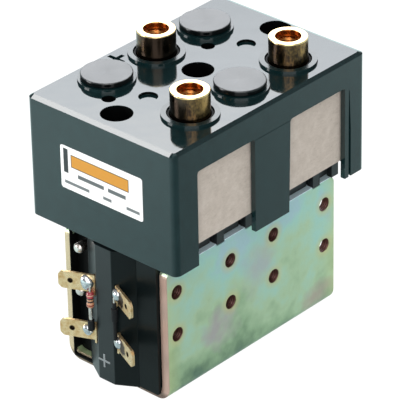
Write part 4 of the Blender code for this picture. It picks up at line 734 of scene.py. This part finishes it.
def make_cover():
    """A hollow shell with a chamfered shoulder, its columns and rings joined on and its openings cut."""
    upright = (0.0,) * 4
    cover = loft("cover_shell", [cover_ring(COVER_FOOT, upright, 2.2), cover_ring(SHOULDER, upright, 2.2),
                                 cover_ring(COVER_TOP, (0.8, 2.8, 0.6, 2.0), 0.9)])
    hollow = [cover_ring(level, (COVER_WALL,) * 4, 1.0) for level in (COVER_FOOT - 4.0, CEILING)]
    carve(cover, [loft("hollow", hollow)])
    wells = (-SCREW_ROW, 0.0, SCREW_ROW)
    raised = [bar("column", WELL + 1.5, (x, 0, COVER_FOOT + 0.6), CEILING - COVER_FOOT) for x in wells]
    for _, _, x, y in post_grid():
        raised.append(bar("ring", RING_RADIUS, (x, y, COVER_TOP - 0.4), RING_TOP - COVER_TOP + 0.4, steps=96,
                          far_radius=RING_RADIUS - 0.15))
    carve(cover, raised, "UNION")
    cutters = []
    for _, kind, x, y in post_grid():
        cutters.append(bar("hole", HOLE_RADII[kind], (x, y, 90.0), 12.0, steps=96))
    for x in wells:
        cutters.append(bar("well", WELL, (x, 0, 72.5), 30.0))
        cutters.append(bar("screw_way", 2.3, (x, 0, 45.0), 30.0, steps=32))
    for side in SIDES.values():
        cutters.append(bar("vent", VENT_RADIUS, (side * PITCH / 2 + VENT[0], VENT[1], 90.0), 12.0, steps=48))
        cutters.append(bar("dimple", DIMPLE_RADIUS, (side * PITCH / 2, 0, COVER_TOP - 1.0), 6.0, steps=48))
    mark = plus(3.3, 0.75, 0.12) + (-11.3, 24.9)
    cutters.append(prism("plus_mark", mark, COVER_TOP - 0.9, COVER_TOP + 1.0))
    for side in (-1, 1):
        cutters += [window(end, side) for end in (-1, 1)]
        groove = [(37.2, 49.0), (38.3, 49.0), (38.2, 70.0), (37.5, 84.6), (37.2, 84.6), (37.1, 70.0)]
        cutters.append(prism("groove", eased(groove, 0.02) * (-side, 1), side * 30.0, side * 36.0, "Y"))
        line = round_box(8.4, 0.12, 0.02, 2, (0, 85.75))
        cutters.append(prism("scored_line", line, side * (COVER_ENDS["Y"][1] - 0.12), side * 36.0, "Y"))
    carve(cover, cutters)
    return dress(cover, GLOSSY, stands_for=["cover"], edge=0.16, segments=3, angle=20.0)


def make_label():
    """A thin film with round corners, laid on the end face just above its middle."""
    outline = round_box(*LABEL["half"], LABEL["corner"], 8, LABEL["middle"])
    face = COVER_ENDS["X"][0]
    label = prism("end_label", outline, face - LABEL["thick"], face + 0.03, "X")
    return dress(label, printed_plate(), edge=0.08)


def make_plug(name, x, y):
    """A disc with a rounded rim over a hollow shank."""
    top = PLUG_TOP
    disc = RING_TOP + 0.3
    corners = [(0.001, top), (7.9, top), (8.45, top), (8.45, disc), (7.2, disc), (7.2, 91.7), (5.8, 91.7),
               (5.8, disc), (0.001, disc)]
    profile = eased(corners, [0.0005, 0.01, 0.4, 0.15, 0.1, 0.2, 0.2, 0.1, 0.0005])
    profile[0][0] = profile[-1][0] = 0.0
    plug = lathe("plug_" + name, profile, (x, y))
    return dress(plug, PLUG_SKIN, stands_for=["blanking_plug_" + name], angle=50.0)


def make_bush(name, x, y):
    """A collared bush: a thin ring round the post, just below the raised ring's top."""
    top = RING_TOP - 0.4
    profile = eased([(6.7, top), (7.3, top), (7.3, 93.6), (8.9, 93.6), (8.9, 92.4), (6.7, 92.4)],
                    [0.1, 0.2, 0.1, 0.2, 0.2, 0.1])
    bush = lathe("bush_" + name, profile, (x, y))
    return dress(bush, BUSH_SKIN, stands_for=["terminal_bush_" + name], angle=60.0)


def make_post(name, x, y):
    """A turned post whose bore is a real M8 thread: r + depth * triangle(z / pitch - turn / 2 pi)."""
    top = POST_TOP
    foot = 64.8
    floor = top - 1.8
    deep = top - 20.0
    steps = 96
    outer = eased([(COUNTERBORE, floor + 0.25), (COUNTERBORE, top), (POST_RADIUS, top), (POST_RADIUS, foot),
                   (0.002, foot)], [0.1, 0.35, 0.35, 0.35, 0.001])
    angle = np.linspace(0, 2 * np.pi, steps, endpoint=False)
    height = np.linspace(floor, deep, 190)
    phase = height[:, None] / M8_PITCH - angle / (2 * np.pi)
    ridge = np.abs(phase - np.floor(phase) - 0.5) * 2
    bore = POST_BORE + 0.6 * ridge * np.clip((floor - height) / 0.8, 0, 1)[:, None]
    radius = np.vstack([np.zeros((1, steps)), np.full((1, steps), POST_BORE), bore[::-1],
                        np.broadcast_to(outer[:, :1], (len(outer), steps))[:-1], np.zeros((1, steps))])
    level = np.concatenate([[deep - 2.0, deep], height[::-1], outer[:-1, 1], [foot]])
    points = np.stack([x + radius * np.cos(angle), y + radius * np.sin(angle),
                       np.broadcast_to(level[:, None], radius.shape)], -1)
    post = build("post_" + name, points.reshape(-1, 3), quads(len(level), steps))
    # How much of each post's two sides is painted gold as lit (painted light)
    lit_side_share = {"left": (-0.5, 0.85), "right": (0.0, 0.35), "common": (0.0, -0.6)}[name]
    skin = turned_brass("brass bar, turned, post " + name, (x, y), lit_side_share)
    return dress(post, skin, stands_for=["terminal_post_" + name], angle=50.0)


# Yoke

def make_yoke():
    """One sheet folded to a U: its outer line, and back along a line 3 mm inside it, carried along X."""
    half, height, bend = YOKE_HALF, YOKE_HEIGHT, YOKE_BEND
    quarter = np.linspace(0, np.pi / 2, 13)
    corner = np.stack([-half + bend - bend * np.cos(quarter), bend - bend * np.sin(quarter)], -1)
    small = bend - STEEL
    inner = np.stack([-half + bend - small * np.cos(quarter), bend - small * np.sin(quarter)], -1)
    outside = np.vstack([[[-half, height]], corner, corner[::-1] * (-1, 1), [[half, height]]])
    inside = np.vstack([[[half - STEEL, height]], inner * (-1, 1), inner[::-1], [[-half + STEEL, height]]])
    yoke = prism("yoke", np.vstack([outside, inside]), *YOKE_ENDS, "X")
    middle = sum(YOKE_ENDS) / 2
    blank = round_box(YOKE_ENDS[1] - middle, height / 2 + 2.5, 2.5, 8, (middle, height / 2 - 2.5))
    carve(yoke, [prism("blank", blank, -30.0, 30.0, "Y")], "INTERSECT")
    cutters = []
    for side in SIDES.values():
        for column in (-1, 1):
            for level in HOLE_LEVELS:
                x = side * PITCH / 2 + column * HOLE_HALF_PITCH
                cutters.append(bar("tapped_hole", TAPPED, (x, -30.0, level), 60.0, "Y", 48))
        cutters.append(bar("screw_seat", 6.1, (side * PITCH / 2, 0, -0.3), 3.6, far_radius=3.1))
    for side in (-1, 1):
        for middle, reach in TABS:
            outline = round_box(reach + 0.3, 2.8, 0.2, 2, (middle, 50.4))
            cutters.append(prism("tab_seat", outline, side * 17.0, side * 30.0, "Y"))
    carve(yoke, cutters)
    return dress(yoke, PASSIVATE, stands_for=["frame"], edge=0.25, segments=3)


# End moulding, blades and suppressors

def make_end_moulding():
    """A panel and a ridge with sloping flanks, a slot for each tang, a way for each pin and a lead pocket."""
    moulding = prism("end_panel", round_box(18.8, 22.4, 1.9, 6, (0, 25.7)), PANEL_FACE, -37.4, "X")
    face = prism("end_face", round_box(18.8, 24.95, 0.8, 6, (0, 26.85)), PANEL_FACE, YOKE_ENDS[0], "X")
    flank = PANEL_FACE - 0.1
    section = eased([(RIDGE_FACE, -3.4), (flank, -10.4), (-40.3, -10.4), (-40.3, 10.4), (flank, 10.4),
                     (RIDGE_FACE, 3.4)], [0.3, 0.25, 0.01, 0.01, 0.25, 0.3])
    carve(moulding, [face, prism("ridge", section, 1.7, 51.8)], "UNION")
    cutters = [bar("coil_clearance", 16.3, (-PITCH / 2, 0, -3.0), 48.4, steps=96),
               prism("tongue_notch", round_box(2.6, 7.8, 0.2, 2, (-38.0, 0)), 45.1, 48.7),
               prism("floor_clearance", round_box(2.75, 19.4, 0.2, 2, (-38.15, 0)), -3.0, 3.3),
               prism("lead_channel", round_box(3.8, 26.2, 0.6, 4, (14.7, 28.8)), -44.9, -38.4, "X")]
    for level in BLADE_LEVELS.values():
        for side in (-1, 1):
            slot = round_box(3.3, 0.7, 0.2, 2, (-44.7, side * BLADE_ROOT[1]))
            cutters.append(prism("tang_slot", slot, level + TANG[0] - 0.3, level + TANG[1] + 0.3))
    for level in PIN_LEVELS.values():
        cutters.append(bar("pin_way", 2.2, (-44.9, PIN_Y, level), 14.0, "X", 32))
    carve(moulding, cutters)
    dress(moulding, RIDGE_SKIN, stands_for=["end_moulding"], edge=0.2, segments=3)
    mark = plus(2.5, 0.38, 0.1) + (0.9, 9.2)
    mark = prism("ridge_plus_mark", mark, RIDGE_FACE - 0.2, RIDGE_FACE + 0.05, "X")
    dress(mark, satin_phenolic("grey paint, plus mark", "#868e90", 0.5), edge=0.06)


def make_blade(name, level, side):
    """A spade outline with tapered tip corners, as thick as its strip, with a tang and a blind detent."""
    root, away, normal = blade_frame(side)
    half, length = BLADE_HALF, BLADE_LENGTH
    neck, tip = length - BLADE_TAPER, half - BLADE_TAPER
    outline = eased([(0.0, -half), (0.0, half), (neck, half), (length, tip), (length, -tip), (neck, -half)],
                    [0.05, 0.05, 0.5, 0.5, 0.5, 0.5])
    flat = root + outline[:, :1] * away + outline[:, 1:] * (0, 0, 1) + (0, 0, level)
    blade = loft(name, [flat - STRIP / 2 * normal, flat + STRIP / 2 * normal])
    tang = round_box(2.0, STRIP / 2, 0.1, 2, (BLADE_ROOT[0] + 1.6, side * BLADE_ROOT[1]))
    carve(blade, [prism("tang", tang, level + TANG[0], level + TANG[1])], "UNION")
    angle = np.linspace(0, 2 * np.pi, 32, endpoint=False)[:, None]
    ring = (root + (DETENT + DETENT_RADIUS * np.cos(angle)) * away
            + DETENT_RADIUS * np.sin(angle) * (0, 0, 1) + (0, 0, level))
    carve(blade, [loft("detent", [ring - 0.15 * normal, ring + 2 * normal])])
    return dress(blade, BLADE_BRASS, stands_for=[name], edge=0.12)


def blob(name, centre, normal, radii, seed):
    """A run bead of solder: a half ellipsoid on a face, its radius swelled by two slow waves."""
    away = np.cross((0.0, 0.0, 1.0), normal)
    away /= np.linalg.norm(away)
    lift = np.linspace(0, np.pi / 2, 12)[:, None, None]
    angle = np.linspace(0, 2 * np.pi, 32, endpoint=False)[None, :, None]
    swell = 1 + 0.08 * np.sin(2 * angle + seed) + 0.05 * np.sin(3 * angle + 2 * seed)
    spread = np.cos(lift) * swell
    points = (np.asarray(centre) + radii[0] * spread * np.cos(angle) * away
              + radii[1] * spread * np.sin(angle) * np.array((0.0, 0.0, 1.0))
              + radii[2] * np.sin(lift) * np.asarray(normal))
    return loft(name, points)


def make_suppressor(name, side, beads, parts):
    """A tinned wire between two blades, with what is threaded on it and a bead of solder at each end.

    beads holds how far along its blade, and how wide, each bead is. Each part is a turned body: its kind,
    where it starts, its length and its radius.
    """
    root, away, normal = blade_frame(side)
    up = np.array([0.0, 0.0, 1.0])
    low, high = (root + level * up for level in BLADE_LEVELS.values())
    stand = WIRE_PLACE * away + 1.5 * normal
    (low_along, low_size), (high_along, high_size) = beads
    path = [low + low_along * away + 0.6 * normal, low + stand * 0.9 + 0.3 * up, low + stand + 1.6 * up,
            (low + high) / 2 + stand, high + stand - 1.6 * up, high + stand * 0.9 - 0.3 * up,
            high + high_along * away + 0.6 * normal]
    wire = tube(name, curved(path, 60), 0.4)
    dress(wire, TINNED, stands_for=[name], angle=80.0)
    x, y = (low + stand)[:2]
    for kind, start, length, radius in parts:
        shape = [(0.001, 0), (1.0, 0), (1.0, 0.5), (1.0, 1.0), (0.001, 1.0)]
        skin = TINNED if kind == "lead" else SLEEVING
        if kind == "resistor":
            shape = [(0.001, 0), (0.75, 0), (1.0, 0.1), (1.0, 0.24), (0.86, 0.32), (0.86, 0.68), (1.0, 0.76),
                     (1.0, 0.9), (0.75, 1.0), (0.001, 1.0)]
            skin = resistor_lacquer(start, start + length)
        ease = 0.1 if kind == "resistor" else 0.22
        profile = eased(np.array(shape) * (radius, length) + (0, start), ease)
        profile = np.clip(profile, (0.0, -1.0), None)
        profile[0][0] = profile[-1][0] = 0.0
        piece = lathe("%s_%s_%d" % (name, kind, start), profile, (x, y), 48)
        dress(piece, skin, angle=60.0)
    ends = (("lower", low, low_along, low_size), ("upper", high, high_along, high_size))
    for place, foot, distance, size in ends:
        centre = foot + distance * away + 0.38 * normal + 0.3 * up
        bead = blob(name + "_bead_" + place, centre, normal, (size, size * 1.1, size * 0.75), 1.3 + size)
        dress(bead, SOLDER, angle=80.0)


def make_pins():
    """Two tinned pins: a plain rod with a domed end, standing 3.6 mm out of the yoke's end."""
    for name, level in PIN_LEVELS.items():
        profile = eased([(0.001, 6.8), (1.0, 6.7), (1.85, 5.9), (1.85, 0.0), (0.001, 0.0)],
                        [0.0005, 0.3, 0.4, 0.1, 0.0005])
        profile[0][0] = profile[-1][0] = 0.0
        pin = lathe("pin_" + name, profile, steps=48)
        turn = Matrix.Translation(Vector((-37.4, PIN_Y, level)) * MM) @ Matrix.Rotation(-np.pi / 2, 4, "Y")
        pin.data.transform(turn)
        dress(pin, TINNED, stands_for=["lead_pin_" + name], angle=50.0)


# Inside

def paint(node, material):
    """A CAD node keeps its mesh and takes a finished material."""
    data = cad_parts[node].data
    data.materials.clear()
    data.materials.append(material)


def make_inside():
    """Coils and bobbins as finer turned pieces, and the finish of every piece that stays as it was packed."""
    for name, side in SIDES.items():
        x = side * PITCH / 2
        spool = eased([(8.6, 43.5), (8.6, 4.9), (16.0, 4.9), (16.0, 3.3), (7.5, 3.3), (7.5, 45.1),
                       (16.0, 45.1), (16.0, 43.5)], 0.25)
        dress(lathe("spool_" + name, spool, (x, 0.0)), NYLON, stands_for=["bobbin_" + name])
        height = np.linspace(43.2, 5.2, 160)
        share = (height - 5.2) / 38.0
        wave = 14.85 - 0.4 * (2 * share - 1) ** 4 + 0.12 * np.abs(np.sin(np.pi * height / 0.5))
        shape = np.vstack([[[8.9, 43.2]], np.stack([wave, height], -1), [[8.9, 5.2]]])
        dress(lathe("winding_" + name, shape, (x, 0.0)), ENAMEL,
              stands_for=["coil_winding_" + name], angle=75.0)
        paired = {"plunger": IRON, "fixed_core": IRON, "core_screw": SPRING_STEEL, "spindle": ROD_BRASS,
                  "return_spring": SPRING_STEEL, "contact_spring": SPRING_STEEL,
                  "spring_retainer": SPRING_STEEL, "contact_bridge": COPPER, "fixed_contact": COPPER,
                  "side_panel_front": FIBRE, "side_panel_rear": FIBRE}
        for kind, material in paired.items():
            paint("%s_%s" % (kind, name), material)
    single = {"cover_screw_left": SPRING_STEEL, "cover_screw_middle": SPRING_STEEL,
              "cover_screw_right": SPRING_STEEL, "common_busbar": COPPER, "top_plate": IRON,
              "contact_base": BASE_SKIN, "coil_lead_lower": SLEEVING, "coil_lead_upper": SLEEVING}
    for node, material in single.items():
        paint(node, material)


# Studio

def make_floor():
    """A wide white floor just under the yoke: white when seen directly; in gloss a faint cyan glow with a
    painted shadow, darkest before -Y.
    """
    size = 4000.0
    outline = np.array([(-size, -size), (size, -size), (size, size), (-size, size)])
    floor = build("studio_floor", along(outline, -0.2), [[0, 1, 2, 3]])
    material = bpy.data.materials.new("white paper floor")
    material.use_nodes = True
    tree = material.node_tree
    paper = tree.nodes["Principled BSDF"]
    paper.inputs["Base Color"].default_value = linear("#e6e6e6")
    paper.inputs["Roughness"].default_value = 0.9
    paper.inputs["Specular IOR Level"].default_value = 0.1
    ray = add(tree, "LightPath").node.outputs
    seen = add(tree, "Math", (ray["Is Camera Ray"], ray["Is Transmission Ray"]), operation="MAXIMUM")
    share = add(tree, "Math", (seen, 0.9), operation="MULTIPLY")
    share = add(tree, "Math", (share, ray["Is Glossy Ray"]), operation="MAXIMUM")
    where = add(tree, "TexCoord", out="Object")
    # Painted shadow: in gloss the floor's glow greys toward a place before -Y, standing in for the object's
    # shadow seen in reflections
    away = add(tree, "VectorMath", (where, (-0.06, -0.2, 0.0)), out="Value", operation="DISTANCE")
    grey = add(tree, "MapRange", {"Value": away, "From Min": 0.1, "From Max": 0.33,
                                  "To Min": 0.3, "To Max": 1.15})
    bright = add(tree, "Math", (seen, 1.12), operation="MULTIPLY")
    bright = add(tree, "Math", (bright, grey), operation="MAXIMUM")
    cast = add(tree, "Mix", {0: ray["Is Glossy Ray"], 6: "#ffffff", 7: "#e6ffff"}, **BLEND)
    glow = add(tree, "Emission", {"Color": cast, "Strength": bright})
    both = add(tree, "MixShader", (share, paper.outputs[0], glow))
    tree.links.new(both, tree.nodes["Material Output"].inputs["Surface"])
    floor.data.materials.append(material)


def make_world():
    """A studio room: a white backdrop for the camera, and dim walls in gloss, so the softboxes show there."""
    world = bpy.data.worlds.new("studio_room")
    bpy.context.scene.world = world
    world.use_nodes = True
    tree = world.node_tree
    where = add(tree, "TexCoord", out="Generated")
    height = add(tree, "SeparateXYZ", (where,), out="Z")
    level = add(tree, "ValToRGB", {"Fac": height}, stops=[(0.0, 0.25), (0.34, 0.22), (0.8, 0.36), (1.0, 0.5)])
    ray = add(tree, "LightPath").node.outputs
    seen = add(tree, "Math", (ray["Is Camera Ray"], ray["Is Transmission Ray"]), operation="MAXIMUM")
    tint = add(tree, "Mix", {0: seen, 6: level, 7: "#ffffff"}, **BLEND)
    tree.links.new(tint, tree.nodes["Background"].inputs["Color"])


def lamp(name, direction, distance, size, radiance, fade=()):
    """A square softbox facing the object, of power radiance * pi * area. fade shades it across its height."""
    data = bpy.data.lights.new(name, "AREA")
    data.shape = "SQUARE"
    data.size = size
    data.energy = radiance * np.pi * size ** 2
    if fade:
        data.use_nodes = True
        tree = data.node_tree
        place = add(tree, "NewGeometry", out="Parametric")
        height = add(tree, "SeparateXYZ", (place,), out="Y")
        bands = add(tree, "ValToRGB", {"Fac": height}, stops=fade)
        tree.links.new(bands, tree.nodes["Emission"].inputs["Color"])
    made = bpy.data.objects.new(name, data)
    bpy.context.scene.collection.objects.link(made)
    direction = Vector(direction).normalized()
    made.location = Vector((0, 0, 0.07)) + direction * distance
    made.rotation_mode = "QUATERNION"
    made.rotation_quaternion = direction.to_track_quat("Z", "Y")
    made.visible_camera = False


def make_camera():
    """The photograph's viewpoint, from the fitted corners: 47 degrees round from -Y to -X, 30 degrees up."""
    data = bpy.data.cameras.new("portrait_camera")
    data.lens = 300.562
    data.sensor_width = 36.0
    data.clip_start = 0.05
    data.clip_end = 20.0
    camera = bpy.data.objects.new("portrait_camera", data)
    bpy.context.scene.collection.objects.link(camera)
    turn = Matrix(((0.66919251, 0.38450438, -0.63587558), (-0.7428824, 0.32598985, -0.58468484),
                   (-0.0175249, 0.86364749, 0.50379151)))
    camera.matrix_world = Matrix.Translation(Vector((-688.232, -632.589, 593.908)) * MM) @ turn.to_4x4()
    bpy.context.scene.camera = camera


def main():
    make_cover()
    make_label()
    for name, kind, x, y in post_grid():
        if kind == "post":
            make_post(name, x, y)
            make_bush(name, x, y)
        else:
            make_plug(name, x, y)
    make_yoke()
    make_end_moulding()
    for level_name, level in BLADE_LEVELS.items():
        make_blade("blade_%s_front" % level_name, level, -1)
        make_blade("blade_%s_rear" % level_name, level, 1)
    make_suppressor("suppressor_rear", 1, ((2.7, 1.8), (2.4, 2.4)),
                    (("resistor", 28.2, 5.6, 1.25), ("lead", 23.3, 5.2, 0.66), ("sleeve", 19.6, 3.8, 1.15)))
    make_suppressor("suppressor_front", -1, ((0.8, 1.9), (0.8, 1.9)),
                    (("sleeve", 27.3, 4.6, 1.15), ("sleeve", 20.2, 13.8, 0.75)))
    make_pins()
    make_inside()
    make_floor()
    make_world()

    # The flat top mirrors the key softbox to the camera, and the chamfer at -X mirrors the edge softbox
    lamp("key_softbox", (0.636, 0.585, 0.504), 1.25, 1.0, 5.6,
         [(0.417, "#d2d6db"), (0.49, "#e9edf2"), (0.53, "#fbfdff")])
    lamp("edge_softbox", (-0.772, 0.585, 0.246), 1.1, 0.4, 12.0)
    lamp("top_fill", (-0.45, -0.42, 0.78), 1.4, 0.8, 1.6)
    lamp("front_fill", (-0.62, -0.66, 0.42), 1.4, 1.2, 2.4)
    make_camera()
    bpy.context.scene.view_settings.view_transform = "Standard"


main()
